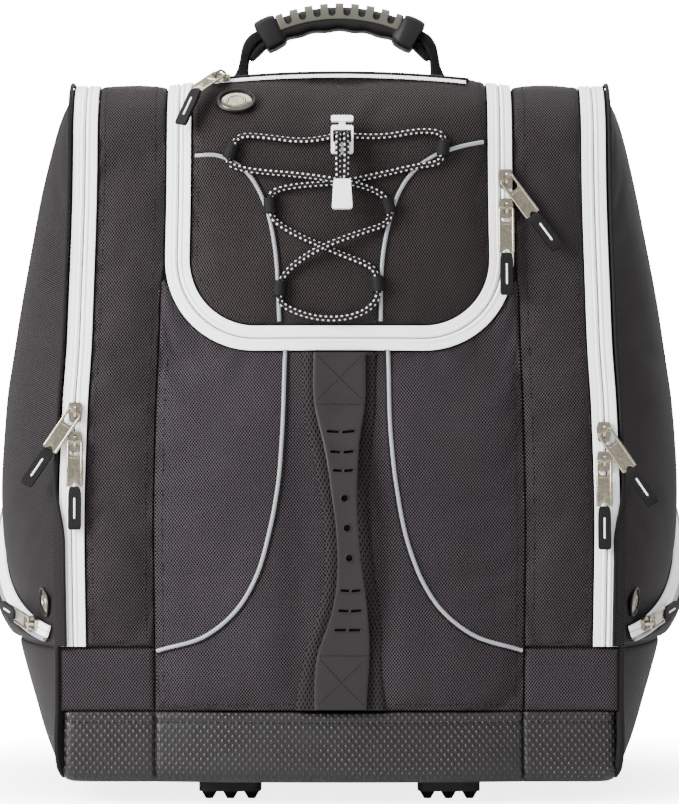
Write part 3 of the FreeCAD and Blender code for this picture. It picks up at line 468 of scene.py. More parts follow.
class Shader:
    """Short names for the nodes that one material is made of."""

    def __init__(self, name, roughness=0.7, metallic=0.0, **sockets):
        self.material = bpy.data.materials.new(name)
        self.material.use_nodes = True
        self.tree = self.material.node_tree
        self.surface = self.tree.nodes["Principled BSDF"]
        self.surface.inputs["Roughness"].default_value = roughness
        self.surface.inputs["Metallic"].default_value = metallic
        for socket, value in sockets.items():
            self.surface.inputs[socket.replace("_", " ")].default_value = value

    def node(self, kind, **fields):
        made = self.tree.nodes.new(kind)
        for field, value in fields.items():
            setattr(made, field, value)
        return made

    def plug(self, socket, value):
        if isinstance(value, bpy.types.NodeSocket):
            self.tree.links.new(value, socket)
        elif value is not None:
            socket.default_value = value

    def math(self, operation, a, b=None, c=None, clamp=False):
        made = self.node("ShaderNodeMath", operation=operation, use_clamp=clamp)
        for socket, value in zip(made.inputs, (a, b, c)):
            self.plug(socket, value)
        return made.outputs[0]

    def weave(self):
        """Across and along the cloth, in millimetres."""
        source = self.node("ShaderNodeUVMap", uv_map="weave")
        parts = self.node("ShaderNodeSeparateXYZ")
        self.plug(parts.inputs[0], source.outputs["UV"])
        return [self.math("MULTIPLY", parts.outputs[k], 1000.0) for k in (0, 1)]

    def place(self):
        return self.node("ShaderNodeTexCoord").outputs["Object"]

    def noise(self, scale, detail=2.0, rough=0.5, vector=None):
        made = self.node("ShaderNodeTexNoise")
        made.inputs["Scale"].default_value = scale
        made.inputs["Detail"].default_value = detail
        made.inputs["Roughness"].default_value = rough
        self.plug(made.inputs["Vector"], vector or self.place())
        return made.outputs["Fac"]

    def wave(self, value, period, shift=0.0):
        """A cosine of a millimetre distance, from 0 to 1."""
        turned = self.math("MULTIPLY_ADD", value, 2 * math.pi / period, shift)
        return self.math("MULTIPLY_ADD", self.math("COSINE", turned), 0.5, 0.5)

    def staggered(self, u, v, across, along):
        """Dots from 0 to 1 in staggered rows, with their periods in millimetres."""
        a = self.math("ADD", self.math("DIVIDE", u, across), self.math("DIVIDE", v, along))
        b = self.math("SUBTRACT", self.math("DIVIDE", u, across), self.math("DIVIDE", v, along))
        return self.math("MULTIPLY", self.wave(a, 1.0), self.wave(b, 1.0))

    def span(self, value, low, high, to_low=0.0, to_high=1.0):
        made = self.node("ShaderNodeMapRange", clamp=True, interpolation_type="SMOOTHSTEP")
        for socket, number in zip(made.inputs, (value, low, high, to_low, to_high)):
            self.plug(socket, number)
        return made.outputs[0]

    def blend(self, share, a, b):
        made = self.node("ShaderNodeMix", data_type="RGBA")
        self.plug(made.inputs["Factor"], share)
        for socket, value in ((made.inputs[6], a), (made.inputs[7], b)):
            self.plug(socket, (*value, 1.0) if isinstance(value, tuple) else value)
        return made.outputs[2]

    def shade(self, colour, share, amount):
        """A colour brightened or darkened by a 0 to 1 share about its half."""
        made = self.node("ShaderNodeHueSaturation")
        self.plug(made.inputs["Color"], colour)
        self.plug(made.inputs["Value"], self.math("MULTIPLY_ADD", share, amount, 1 - amount / 2))
        return made.outputs[0]

    def bump(self, height, distance, strength=1.0, under=None):
        made = self.node("ShaderNodeBump")
        made.inputs["Distance"].default_value = distance
        made.inputs["Strength"].default_value = strength
        self.plug(made.inputs["Height"], height)
        if under is not None:
            self.plug(made.inputs["Normal"], under)
        return made.outputs[0]

    def finish(self, colour=None, normal=None, roughness=None):
        self.plug(self.surface.inputs["Base Color"], colour)
        if normal is not None:
            self.plug(self.surface.inputs["Normal"], normal)
        if roughness is not None:
            self.plug(self.surface.inputs["Roughness"], roughness)
        return self.material


def srgb(r, g, b):
    """A linear colour from 0 to 255 display values."""
    return tuple((c / 255 / 12.92) if c <= 10 else ((c / 255 + 0.055) / 1.055) ** 2.4 for c in (r, g, b))


def dobby_material(name, thread, hole, across, along):
    """A fabric of light threads with staggered rows of dark pin holes."""
    sh = Shader(name, roughness=0.62, Specular_IOR_Level=0.08)
    u, v = sh.weave()
    wobble = sh.math("MULTIPLY_ADD", sh.noise(55.0, 2.0), 0.7, -0.35)
    u = sh.math("ADD", u, wobble)
    dots = sh.staggered(u, v, across, along)
    hole_share = sh.span(dots, 0.0, 0.2)
    grain = sh.noise(1700.0, 2.0, 0.6)
    tone = sh.noise(16.0, 4.0, 0.55)
    colour = sh.blend(hole_share, thread, hole)
    colour = sh.shade(colour, grain, 0.5)
    colour = sh.shade(colour, tone, 0.5)
    height = sh.math("SUBTRACT", 1.0, dots)
    creases = sh.bump(sh.noise(13.0, 3.0, 0.45), 9 * MM, 0.55)
    normal = sh.bump(height, 0.35 * MM, 0.7, creases)
    rough = sh.span(hole_share, 0, 1, 0.56, 0.85)
    return sh.finish(colour, normal, rough)


def twill_material(name, light, dark, pitch, slope=0.55):
    """A fine fabric with diagonal ribs."""
    sh = Shader(name, roughness=0.66, Specular_IOR_Level=0.08)
    u, v = sh.weave()
    diagonal = sh.math("MULTIPLY_ADD", u, slope, v)
    ribs = sh.wave(diagonal, pitch)
    threads = sh.wave(u, pitch * 0.8)
    share = sh.math("MULTIPLY", ribs, sh.math("MULTIPLY_ADD", threads, 0.5, 0.5))
    colour = sh.blend(sh.span(share, 0.1, 0.8), dark, light)
    colour = sh.shade(colour, sh.noise(1500.0, 2.0, 0.6), 0.45)
    colour = sh.shade(colour, sh.noise(14.0, 4.0, 0.55), 0.45)
    return sh.finish(colour, sh.bump(share, 0.3 * MM, 0.5))


def tarp_material():
    """Coated cloth with staggered rows of pressed dimples."""
    sh = Shader("coated_base", roughness=0.42, Specular_IOR_Level=0.3)
    u, v = sh.weave()
    dots = sh.staggered(u, v, 4.3, 5.6)
    pressed = sh.span(sh.noise(8.0, 2.0), 0.4, 0.6, 0.35, 1.0)
    domes_and_highlight = sh.math("MULTIPLY", sh.span(dots, 0.1, 0.9), pressed)
    crust = sh.noise(900.0, 3.0, 0.6)
    # The domes' raised tops are painted lighter than the hollows between them: painted highlight and shade.
    colour = sh.blend(domes_and_highlight, srgb(16, 13, 15), srgb(34, 30, 33))
    colour = sh.shade(colour, sh.noise(22.0, 4.0), 0.4)
    normal = sh.bump(domes_and_highlight, 0.9 * MM, 0.8, sh.bump(crust, 0.06 * MM, 0.5))
    rough = sh.span(sh.noise(60.0, 3.0), 0.3, 0.7, 0.36, 0.52)
    return sh.finish(colour, normal, rough)


def tape_material():
    """White nylon zipper tape with fine cross ribs and a herringbone along it."""
    sh = Shader("zip_tape", roughness=0.5, Specular_IOR_Level=0.3)
    u, v = sh.weave()
    ribs = sh.wave(v, 0.75)
    zigzag = sh.math("ABSOLUTE", sh.math("SUBTRACT", sh.math("PINGPONG", u, 1.2), 0.6))
    slant = sh.wave(sh.math("ADD", v, zigzag), 1.5)
    colour = sh.blend(ribs, srgb(230, 231, 236), srgb(250, 250, 253))
    colour = sh.blend(sh.span(slant, 0.6, 1.0, 0, 0.25), colour, srgb(205, 207, 215))
    colour = sh.shade(colour, sh.noise(30.0, 3.0), 0.07)
    return sh.finish(colour, sh.bump(ribs, 0.12 * MM, 0.5))


def webbing_material(name, light, dark, rib=1.15):
    """Woven webbing with ribs along it and rows of picks across."""
    sh = Shader(name, roughness=0.68, Specular_IOR_Level=0.14)
    u, v = sh.weave()
    ribs = sh.wave(u, rib)
    picks = sh.wave(sh.math("ADD", v, sh.math("MULTIPLY", ribs, 0.4)), 1.3)
    height = sh.math("MULTIPLY_ADD", picks, 0.45, sh.math("MULTIPLY", ribs, 0.55))
    colour = sh.blend(height, dark, light)
    colour = sh.shade(colour, sh.noise(1300.0, 2.0, 0.6), 0.5)
    colour = sh.shade(colour, sh.noise(40.0, 3.0), 0.3)
    return sh.finish(colour, sh.bump(height, 0.3 * MM, 0.7))


def mesh_material():
    """Spacer mesh: long slanted holes between knitted cords."""
    sh = Shader("spacer_mesh", roughness=0.75, Specular_IOR_Level=0.12)
    u, v = sh.weave()
    dots = sh.staggered(u, v, 2.5, 4.6)
    holes = sh.span(dots, 0.25, 0.55)
    colour = sh.blend(holes, srgb(33, 30, 31), srgb(2, 2, 2))
    colour = sh.shade(colour, sh.noise(1400.0, 2.0, 0.6), 0.6)
    height = sh.math("SUBTRACT", 1.0, sh.span(dots, 0.1, 0.7))
    return sh.finish(colour, sh.bump(height, 0.9 * MM, 0.9))


def plastic_material(name, colour, roughness, grain=0.03, scale=700.0, edge_highlight=None):
    """Moulded plastic or rubber with a fine spark-eroded grain."""
    sh = Shader(name, roughness=roughness, Specular_IOR_Level=0.2)
    tone = sh.noise(26.0, 3.0)
    speckled = sh.blend(sh.noise(scale, 2.0), colour, tuple(c * 0.82 for c in colour))
    shade = sh.shade(speckled, tone, 0.22)
    # Sharp edges, found by their pointiness, are painted lighter in a second colour: a painted highlight
    # along them.
    if edge_highlight:
        edge = sh.node("ShaderNodeNewGeometry").outputs["Pointiness"]
        shade = sh.blend(sh.span(edge, 0.52, 0.62), shade, edge_highlight)
    normal = sh.bump(sh.noise(scale, 3.0, 0.6), grain * MM, 0.7)
    rough = sh.span(sh.noise(45.0, 3.0), 0.3, 0.7, roughness - 0.06, roughness + 0.08)
    return sh.finish(shade, normal, rough)


def nickel_material(name, light, dark):
    """Plated zinc: warm, satin, with faint rub marks."""
    sh = Shader(name, roughness=0.3, metallic=1.0)
    rub = sh.noise(420.0, 4.0, 0.65)
    colour = sh.blend(rub, light, dark)
    rough = sh.span(sh.noise(150.0, 4.0, 0.7), 0.3, 0.75, 0.14, 0.34)
    return sh.finish(colour, sh.bump(rub, 0.03 * MM, 0.6), rough)


def reflective_material():
    """Grey reflective tape over piping cord, with a fine cross-hatch."""
    sh = Shader("reflective_piping", roughness=0.38, Coat_Weight=0.3, Coat_Roughness=0.25)
    u, v = sh.weave()
    hatch = sh.math("MULTIPLY", sh.wave(sh.math("ADD", u, v), 0.8), sh.wave(sh.math("SUBTRACT", u, v), 0.8))
    colour = sh.blend(hatch, srgb(112, 114, 118), srgb(146, 147, 151))
    colour = sh.shade(colour, sh.noise(50.0, 3.0), 0.16)
    return sh.finish(colour, sh.bump(hatch, 0.08 * MM, 0.5))


def cord_material():
    """A black braided cord with two rows of white flecks on each side."""
    sh = Shader("bungee_cord", roughness=0.66, Specular_IOR_Level=0.15)
    u, v = sh.weave()
    turn = sh.math("MULTIPLY", u, 2 * math.pi / 11.3)
    row = sh.math("COSINE", sh.math("MULTIPLY", turn, 4.0))
    lane = sh.span(row, -0.1, 0.6)
    facing = sh.math("SINE", sh.math("MULTIPLY_ADD", turn, 2.0, math.pi / 4))
    side_shift = sh.math("MULTIPLY", sh.math("SIGN", facing), math.pi / 2)
    steps = sh.math("COSINE", sh.math("ADD", sh.math("MULTIPLY", v, 2 * math.pi / 3.3), side_shift))
    fleck = sh.math("MULTIPLY", lane, sh.span(steps, 0.15, 0.6))
    colour = sh.blend(fleck, srgb(12, 10, 11), srgb(205, 203, 201))
    braid = sh.math("MULTIPLY", sh.wave(sh.math("ADD", v, sh.math("MULTIPLY", u, 0.6)), 1.1),
                    sh.wave(sh.math("SUBTRACT", v, sh.math("MULTIPLY", u, 0.6)), 1.1))
    return sh.finish(colour, sh.bump(braid, 0.25 * MM, 0.7))


def thread_material(name, colour):
    sh = Shader(name, roughness=0.6, Specular_IOR_Level=0.2)
    twist = sh.noise(2600.0, 2.0)
    tint = sh.blend(twist, tuple(c * 0.6 for c in colour), colour)
    return sh.finish(tint, sh.bump(twist, 0.05 * MM, 0.5))


PACK = dobby_material("pack_fabric", srgb(56, 51, 54), srgb(2, 1, 2), 1.75, 2.3)
LID_FABRIC = dobby_material("lid_fabric", srgb(48, 43, 43), srgb(2, 1, 1), 1.7, 2.6)
GUSSET_FABRIC = dobby_material("gusset_fabric", srgb(51, 46, 48), srgb(2, 1, 2), 1.75, 2.3)
SIDE = twill_material("side_fabric", srgb(42, 38, 40), srgb(3, 2, 3), 1.3, 0.2)
LINING = twill_material("lining", srgb(40, 38, 40), srgb(28, 27, 28), 0.6, 0.0)
TARP = tarp_material()
TAPE_WHITE = tape_material()
WEBBING = webbing_material("webbing", srgb(17, 15, 16), srgb(4, 4, 4))
BLACK_PIPING = webbing_material("black_piping", srgb(17, 15, 16), srgb(5, 5, 5), 0.7)
MESH = mesh_material()
STRAP_PAD = dobby_material("strap_pad", srgb(40, 36, 37), srgb(8, 7, 7), 2.6, 3.2)
RUBBER = plastic_material("moulded_rubber", srgb(27, 24, 25), 0.55, 0.05, 900.0)
# The grip's second colour is its painted edge highlight.
GRIP = plastic_material("grip_rubber", srgb(17, 16, 16), 0.6, 0.04, 800.0, srgb(32, 30, 29))
INLAY = plastic_material("grip_inlay", srgb(80, 79, 71), 0.6, 0.05, 900.0)
BUCKLE = plastic_material("buckle_plastic", srgb(14, 13, 13), 0.36)
WHITE_PLASTIC = plastic_material("white_plastic", srgb(240, 241, 242), 0.32, 0.02)
BOARD = plastic_material("board", srgb(34, 33, 33), 0.6, 0.08, 300.0)
FOOT = plastic_material("foot_rubber", srgb(14, 13, 13), 0.6, 0.06, 700.0)
NICKEL = nickel_material("nickel", srgb(184, 176, 158), srgb(112, 105, 91))
PEWTER = nickel_material("pewter", srgb(136, 134, 120), srgb(96, 93, 82))
REFLECTIVE = reflective_material()
CORD = cord_material()
DARK_THREAD = thread_material("dark_thread", srgb(9, 8, 8))
WHITE_THREAD = thread_material("white_thread", srgb(240, 240, 240))


# ---- Camera, light and floor --------------------------------------------------------------

camera = new_object("camera", bpy.data.cameras.new("camera"))
camera.data.lens = 189.7
camera.location = (0.0, -2.75, 0.2435)
camera.rotation_euler = (math.radians(90), 0, 0)
bpy.context.scene.camera = camera


def area_light(name, place, aim, size, power):
    lamp = bpy.data.lights.new(name, "AREA")
    lamp.shape = "RECTANGLE"
    lamp.size, lamp.size_y = size
    lamp.energy = power
    made = new_object(name, lamp)
    made.location = place
    made.rotation_euler = (Vector(aim) - Vector(place)).to_track_quat("-Z", "Y").to_euler()


area_light("key", (-1.35, -1.05, 0.95), (0, 0, 0.25), (0.9, 1.1), 108)
area_light("fill", (1.9, -1.6, 0.9), (0, 0, 0.25), (1.2, 1.4), 6)
area_light("top", (0.0, 0.2, 2.2), (0, 0, 0.2), (1.8, 1.4), 60)
area_light("back", (0.3, 2.4, 1.2), (0, 0, 0.3), (1.6, 1.2), 30)


def seen_white(tree, strength):
    """An emission that only the camera sees, as an overexposed studio background is."""
    ray = tree.nodes.new("ShaderNodeLightPath")
    glow = tree.nodes.new("ShaderNodeMath")
    glow.operation = "MULTIPLY"
    tree.links.new(ray.outputs["Is Camera Ray"], glow.inputs[0])
    if isinstance(strength, bpy.types.NodeSocket):
        tree.links.new(strength, glow.inputs[1])
    else:
        glow.inputs[1].default_value = strength
    return glow.outputs[0]


world = bpy.data.worlds.new("studio")
world.use_nodes = True
sky = world.node_tree.nodes["Background"]
sky.inputs["Color"].default_value = (1, 1, 1, 1)
lit = world.node_tree.nodes.new("ShaderNodeMath")
lit.inputs[1].default_value = 0.92
world.node_tree.links.new(seen_white(world.node_tree, 15.0), lit.inputs[0])
world.node_tree.links.new(lit.outputs[0], sky.inputs["Strength"])
bpy.context.scene.world = world


def floor():
    """A pale floor that fades into the white background away from the bag."""
    corners = np.array([(-8.0, -8.0, 0.0), (8.0, -8.0, 0.0), (8.0, 8.0, 0.0), (-8.0, 8.0, 0.0)])
    sh = Shader("floor", roughness=0.9, Specular_IOR_Level=0.1, Emission_Color=(1, 1, 1, 1))
    paper = sh.noise(220.0, 2.0)
    away = sh.node("ShaderNodeVectorMath", operation="LENGTH")
    sh.plug(away.inputs[0], sh.place())
    # The floor glows for the camera only, as painted light: weakly within 0.17 m of the bag's middle and
    # fully from 0.5 m, which paints a grey zone of shade round the base that fades into the white background.
    rise = sh.span(away.outputs["Value"], 0.17, 0.5, 4.0, 16.0)
    sh.plug(sh.surface.inputs["Emission Strength"], seen_white(sh.tree, rise))
    sheet = sh.finish(sh.blend(paper, (0.88, 0.88, 0.88), (0.92, 0.92, 0.92)), sh.bump(paper, 0.05 * MM, 0.2))
    plane = make_mesh("floor", (corners, [(0, 1, 2, 3)], corners[:, :2], [0]), [sheet])
    new_object("floor", plane)


floor()


# ---- Lacing -------------------------------------------------------------------------------

# How far the cord lies off the face: on it, over a crossing, and in front of the lock
LOW_D, OVER_D, FRONT_D = 5.4, 10.4, 16.1
CORD_SLOT = 405.5
CORD_R, CORD_LENGTH = 1.8 * MM, 0.7064

# Across, height and offset in millimetres: from the cord end, through the lock, down the
# criss-cross from the left and back up it from the right
LACING = (
    (-0.7, 377.5, FRONT_D), (-1.2, 392.0, FRONT_D + 0.4), (-0.7, CORD_SLOT, FRONT_D),
    (-0.7, CORD_SLOT, LOW_D), (-22.0, 401.5, LOW_D), (-46.0, 405.0, LOW_D),
    (-59.5, 406.0, LOW_D), (-64.5, 402.4, LOW_D),
    (-68.9, 390.2, LOW_D), (-64.6, 386.6, LOW_D), (-50.0, 383.6, LOW_D + 0.6),
    (-24.0, 381.2, LOW_D + 2.4), (1.1, 377.2, OVER_D), (16.0, 374.2, LOW_D + 1.4),
    (28.2, 368.6, LOW_D),
    (31.8, 356.2, LOW_D), (27.6, 350.4, LOW_D), (15.0, 346.4, LOW_D + 1.6),
    (-9.4, 337.4, OVER_D), (-24.0, 329.4, LOW_D + 1.4), (-36.0, 318.3, LOW_D),
    (-37.0, 305.3, LOW_D), (-33.6, 300.6, LOW_D), (-20.0, 295.0, LOW_D),
    (-6.0, 292.9, LOW_D), (9.0, 294.6, LOW_D), (19.5, 300.2, LOW_D), (24.3, 308.0, LOW_D),
    (22.7, 321.0, LOW_D), (18.2, 326.0, LOW_D), (3.0, 331.8, LOW_D), (-9.4, 337.0, LOW_D),
    (-27.0, 344.8, LOW_D), (-37.5, 351.4, LOW_D), (-42.0, 356.3, LOW_D),
    (-43.0, 369.3, LOW_D), (-37.6, 372.9, LOW_D), (-22.0, 375.4, LOW_D),
    (1.1, 376.6, LOW_D), (26.0, 381.8, LOW_D), (48.0, 387.2, LOW_D), (58.6, 388.4, LOW_D),
    (63.1, 391.8, LOW_D),
    (64.5, 404.8, LOW_D), (59.8, 408.4, LOW_D), (47.0, 408.6, LOW_D), (27.0, 404.6, LOW_D),
    (3.9, CORD_SLOT, LOW_D), (3.9, CORD_SLOT, FRONT_D), (4.4, 392.0, FRONT_D + 0.4),
    (3.9, 377.5, FRONT_D),
)


def on_front(x, z, d=0.0):
    """A point of the front face by its height, all in millimetres, on the flat front's line."""
    height = float(crown(x * MM)) + d * MM
    return Vector((x * MM, Y_FRONT + (z * MM - Z_BAND) * math.tan(LEAN), z * MM)) + OUT * height


def spline_points(places):
    """Points along the smooth line that a cord's route controls."""
    curve = bpy.data.curves.new("route", "CURVE")
    curve.dimensions = "3D"
    curve.resolution_u = 10
    spline = curve.splines.new("NURBS")
    spline.points.add(len(places) - 1)
    for point, place in zip(spline.points, places):
        point.co = (*place, 1.0)
    spline.order_u = 3
    spline.use_endpoint_u = True
    obj = new_object("route", curve)
    bpy.context.view_layer.update()
    graph = bpy.context.evaluated_depsgraph_get()
    mesh = bpy.data.meshes.new_from_object(obj.evaluated_get(graph))
    points = np.array([v.co[:] for v in mesh.vertices])
    bpy.data.objects.remove(obj)
    return points


def along_line(points):
    """Distances, unit tangents and two turning-free side vectors along a line of points."""
    run = run_lengths(points)
    tangent = np.gradient(points, axis=0)
    tangent /= np.linalg.norm(tangent, axis=1, keepdims=True)
    first = np.cross(tangent[0], (0.3, -0.2, 0.9))
    sides = [first / np.linalg.norm(first)]
    for t in tangent[1:]:
        turned = sides[-1] - t * np.dot(sides[-1], t)
        sides.append(turned / np.linalg.norm(turned))
    sides = np.array(sides)
    return run, tangent, sides, np.cross(tangent, sides)


def tube(points, radius, around=12, normals=None):
    """A round tube along a line. Its uv runs round it and along it in metres."""
    run, tangent, first, second = along_line(points)
    if normals is not None:
        second = normals - tangent * np.sum(normals * tangent, 1, keepdims=True)
        second /= np.linalg.norm(second, axis=1, keepdims=True)
        first = np.cross(tangent, second)
    turn = full_turn(around)
    radius = np.broadcast_to(np.asarray(radius, float), len(points))
    rings = points[:, None] + circles(first, second, turn) * radius[:, None, None]
    return swept(rings, run, turn * float(radius.max()))


def lacing():
    route = spline_points([on_front(*place) for place in LACING])
    made = piece("lacing", tube(route, CORD_R, 16), CORD, "lid", ["lacing_cord"])


lacing()


# ---- Helpers for sewn details -------------------------------------------------------------


def smooth_line(places, step=2.0 * MM):
    """Evenly spaced points on a smooth curve through places."""
    places = np.asarray(places, float)
    run = run_lengths(places)
    slope = np.gradient(places, run, axis=0)
    at = np.linspace(0, run[-1], max(3, round(run[-1] / step) + 1))
    k = np.clip(np.searchsorted(run, at) - 1, 0, len(run) - 2)
    gap = (run[k + 1] - run[k])[:, None]
    t = (at - run[k])[:, None] / gap
    return hermite(t, gap, places[k], places[k + 1], slope[k], slope[k + 1])


def surface_tree(part):
    return BVHTree.FromPolygons([Vector(p) for p in part[0]], part[1])


SNAP_REACH = 0.02


def snapped(points, normals, tree, lift=0.0):
    """Points moved along their normals on to a mesh, and out of it by a lift."""
    out = []
    for point, normal in zip(points, normals):
        start = Vector(point) + Vector(normal) * SNAP_REACH
        hit = tree.ray_cast(start, -Vector(normal), 2.5 * SNAP_REACH)[0]
        out.append(np.array(hit if hit is not None else point) + normal * lift)
    return np.array(out)


def read_at(where, run, values):
    """Rows of three values, read between the places of a run."""
    return np.stack([np.interp(where, run, values[:, k]) for k in range(3)], -1)


def stitches(points, normals, pitch=3.2 * MM, long=2.3 * MM, thick=0.36 * MM):
    """A row of thread stitches along a line of points."""
    run = run_lengths(points)
    at = np.arange(pitch / 2, run[-1], pitch)
    shape = ((-0.5, 0.15, -0.7), (-0.34, 0.9, 0.1), (0.0, 1.0, 0.35), (0.34, 0.9, 0.1), (0.5, 0.15, -0.7))
    turn = full_turn(5)
    rings = []
    for share, fat, lift in shape:
        where = np.clip(at + share * long, 0, run[-1])
        centre, normal = (read_at(where, run, values) for values in (points, normals))
        ahead, behind = (read_at(np.clip(where + step, 0, run[-1]), run, points)
                         for step in (0.3 * MM, -0.3 * MM))
        along = ahead - behind
        along /= np.maximum(np.linalg.norm(along, axis=1, keepdims=True), 1e-9)
        beside = np.cross(along, normal)
        middle = centre + normal * lift * thick
        rings.append(middle[:, None] + fat * thick * circles(beside, normal, turn))
    rings = np.stack(rings, 1)
    parts = [swept(one, [0, 1, 2, 3, 4]) for one in rings]
    return joined(parts)


def ribbon_path(places, step=2.0 * MM, d=0.0, tree=None, lift=0.0):
    """A line over the ribbon through (across, along) places, with its normals."""
    line = smooth_line(places, step)
    points, normals = ribbon(line[:, 0], line[:, 1], d), surface_normal(ribbon, line[:, 0], line[:, 1])
    return snapped(points, normals, tree, lift) if tree else points + normals * lift, normals


# ---- Panels of the ribbon -----------------------------------------------------------------


def puckers(points, near, seed):
    """Short gathers beside a sewn edge, and the soft folds of the cloth away from it."""
    gathers = lumps(points, seed + 50, 0.009, 0.4 * MM) * np.exp(-near / (7 * MM))
    folds = lumps(points * (1.0, 1.0, 0.45), seed + 80, 0.024, 0.9 * MM)
    return gathers * np.clip(near / (1.5 * MM), 0, 1) + folds * np.clip(near / (14 * MM), 0, 1)


PANEL_STEP, PANEL_THICK, PANEL_PRESSURE = 5.0 * MM, 3.2 * MM, 3.0


def ribbon_panel(x_range, s_low, s_high, edge=None, cap=2.6 * MM, slack=0.012, relief=None, seed=0,
                 settle=True, ripple=1.0):
    """A padded panel between two places across and two lines along the ribbon."""
    across = x_range[0] + spaced(x_range[1] - x_range[0], PANEL_STEP)
    low, high = (f(across) * np.ones_like(across) for f in (s_low, s_high))
    length = float(np.max(high - low))
    share = spaced(length, PANEL_STEP) / length
    s = low[None] + share[:, None] * (high - low)[None]
    x = np.broadcast_to(across[None], s.shape)
    if edge is None:
        near = np.minimum(np.minimum(x - x_range[0], x_range[1] - x), np.minimum(s - low, high - s))
    else:
        near = edge(x, s)
    points = ribbon(x, s, rolled(near))
    if settle:
        mask = None if relief is None else relief(x, s)
        points = settled_grid(points, PANEL_PRESSURE, slack, cap, relief=mask)
    uneven = lumps(points, seed, 0.045, 0.5 * MM) * np.clip(near / 0.012, 0, 1)
    uneven = uneven + ripple * puckers(points, near, seed)
    points = points + grid_out(points) * uneven[..., None]
    return closed_shell(points, np.stack([x, s], -1), PANEL_THICK)


def constant(value):
    return lambda x: value


def u_line(half, low, radius):
    """The height of a U outline's lower edge, by the distance across."""

    def height(x):
        inside = np.clip(np.abs(x) - (half - radius), 0, radius)
        return s_front(low + radius - np.sqrt(np.maximum(radius**2 - inside**2, 0)))

    return height


def u_inside(half, low, radius, high):
    """The distance from the inside to the edge of a U with rounded lower corners."""

    def distance(x, s):
        a, b = np.abs(x) - (half - radius), s_front(low + radius) - s
        corner = radius - np.hypot(np.maximum(a, 0), np.maximum(b, 0))
        straight = np.minimum(half - np.abs(x), s - s_front(low))
        flat = np.where((a > 0) & (b > 0), corner, straight)
        return np.maximum(np.minimum(flat, high - s), 0)

    return distance


FABRIC = [PACK, LINING]
STEP_IN = TAPE + 0.9 * MM
LID_HALF, LID_EDGE, LID_R = X_LID_ZIP - STEP_IN, LID_LOW + STEP_IN, LID_CORNER - STEP_IN
LID_BACK = s_over(Y_LID_HINGE - 0.5 * MM)

lid_part = ribbon_panel((-LID_HALF, LID_HALF), u_line(LID_HALF, LID_EDGE, LID_R), constant(LID_BACK),
                        u_inside(LID_HALF, LID_EDGE, LID_R, LID_BACK), cap=2.2 * MM, seed=1, ripple=0.5)
LID_TREE = surface_tree(lid_part)
lid_cover = piece("lid_cover", lid_part, [LID_FABRIC, LINING], "lid", ["lid_panel"])

OUT_HALF, OUT_LOW, OUT_R = X_LID_ZIP + STEP_IN, LID_LOW - STEP_IN, LID_CORNER + STEP_IN


def front_top(x):
    return np.minimum(u_line(OUT_HALF, OUT_LOW, OUT_R)(x), s_front(0.318))


def front_edge(x, s):
    """The distance to the front panel's seams and to the lid zipper below the lid."""
    a, b = np.abs(x) - (OUT_HALF - OUT_R), s_front(OUT_LOW + OUT_R) - s
    corner = np.hypot(np.maximum(a, 0), np.maximum(b, 0)) - OUT_R
    below = s_front(OUT_LOW) - s
    curve = np.where(a > 0, np.maximum(corner, 0), below)
    sides = np.minimum(X_SEAM - np.abs(x), s - s_front(Z_BAND + 0.5 * MM))
    return np.maximum(np.minimum(curve, sides), 0)


front_part = ribbon_panel((-X_SEAM, X_SEAM), constant(s_front(Z_BAND + 0.5 * MM)), front_top, front_edge,
                          slack=0.016, cap=4.5 * MM, seed=2,
                          relief=lambda x, s: 0.25 + 0.75 * smooth_step(np.abs(x), 20 * MM, 42 * MM))
FRONT_TREE = surface_tree(front_part)
front_cover = piece("front_cover", front_part, FABRIC, "bag", ["front_panel"])


def gusset():
    """The long panel beside the boot zipper, from the front over the top and down the back."""
    x0, x1 = X_SEAM + 0.5 * MM, X_BOOT_ZIP - STEP_IN
    low, high = s_front(Z_HINGE + 0.5 * MM), s_behind(Z_HINGE + 0.5 * MM)
    along = low + spaced(high - low, 6 * MM)
    share = spaced(x1 - x0, 5 * MM) / (x1 - x0)
    lean_in = 2.0 * MM * smooth_step(along, s_front(0.306), s_front(0.326))
    left = x0 - lean_in * (1 - smooth_step(along, LID_BACK, LID_BACK + 0.006))
    x = left[:, None] + share[None] * (x1 - left)[:, None]
    s = np.broadcast_to(along[:, None], x.shape)
    near = np.minimum(np.minimum(x - left[:, None], x1 - x), np.minimum(s - low, high - s))
    points = ribbon(x, s, rolled(near))
    points = settled_grid(points, PANEL_PRESSURE, 0.014, 3.0 * MM)
    sides = []
    for seed in (4, 5):
        uneven = lumps(points, seed, 0.04, 1.1 * MM) * np.clip(near / 0.012, 0, 1)
        uneven = uneven + puckers(points, near, seed)
        moved = points + grid_out(points) * uneven[..., None]
        sides.append(closed_shell(moved, np.stack([x, s], -1), PANEL_THICK))
    return joined([sides[0], mirrored(sides[1])])


gusset_part = gusset()
GUSSET_TREE = surface_tree(gusset_part)
gusset_covers = piece("gusset_covers", gusset_part, [GUSSET_FABRIC, LINING], "bag",
                      ["gusset_panels"])

top_part = ribbon_panel((-X_SEAM, X_SEAM), constant(s_over(Y_LID_HINGE + 0.5 * MM)),
                        constant(s_over(BACK_Y - 0.5 * MM)), seed=6, settle=False)
piece("top_cover", top_part, FABRIC, "bag", ["top_panel"])
back_part = ribbon_panel((-X_SEAM, X_SEAM), constant(S_BACK_BEND), constant(s_behind(Z_BAND + 0.5 * MM)),
                         seed=7, settle=False)
piece("back_cover", back_part, [SIDE, LINING], "bag", ["back_panel"])

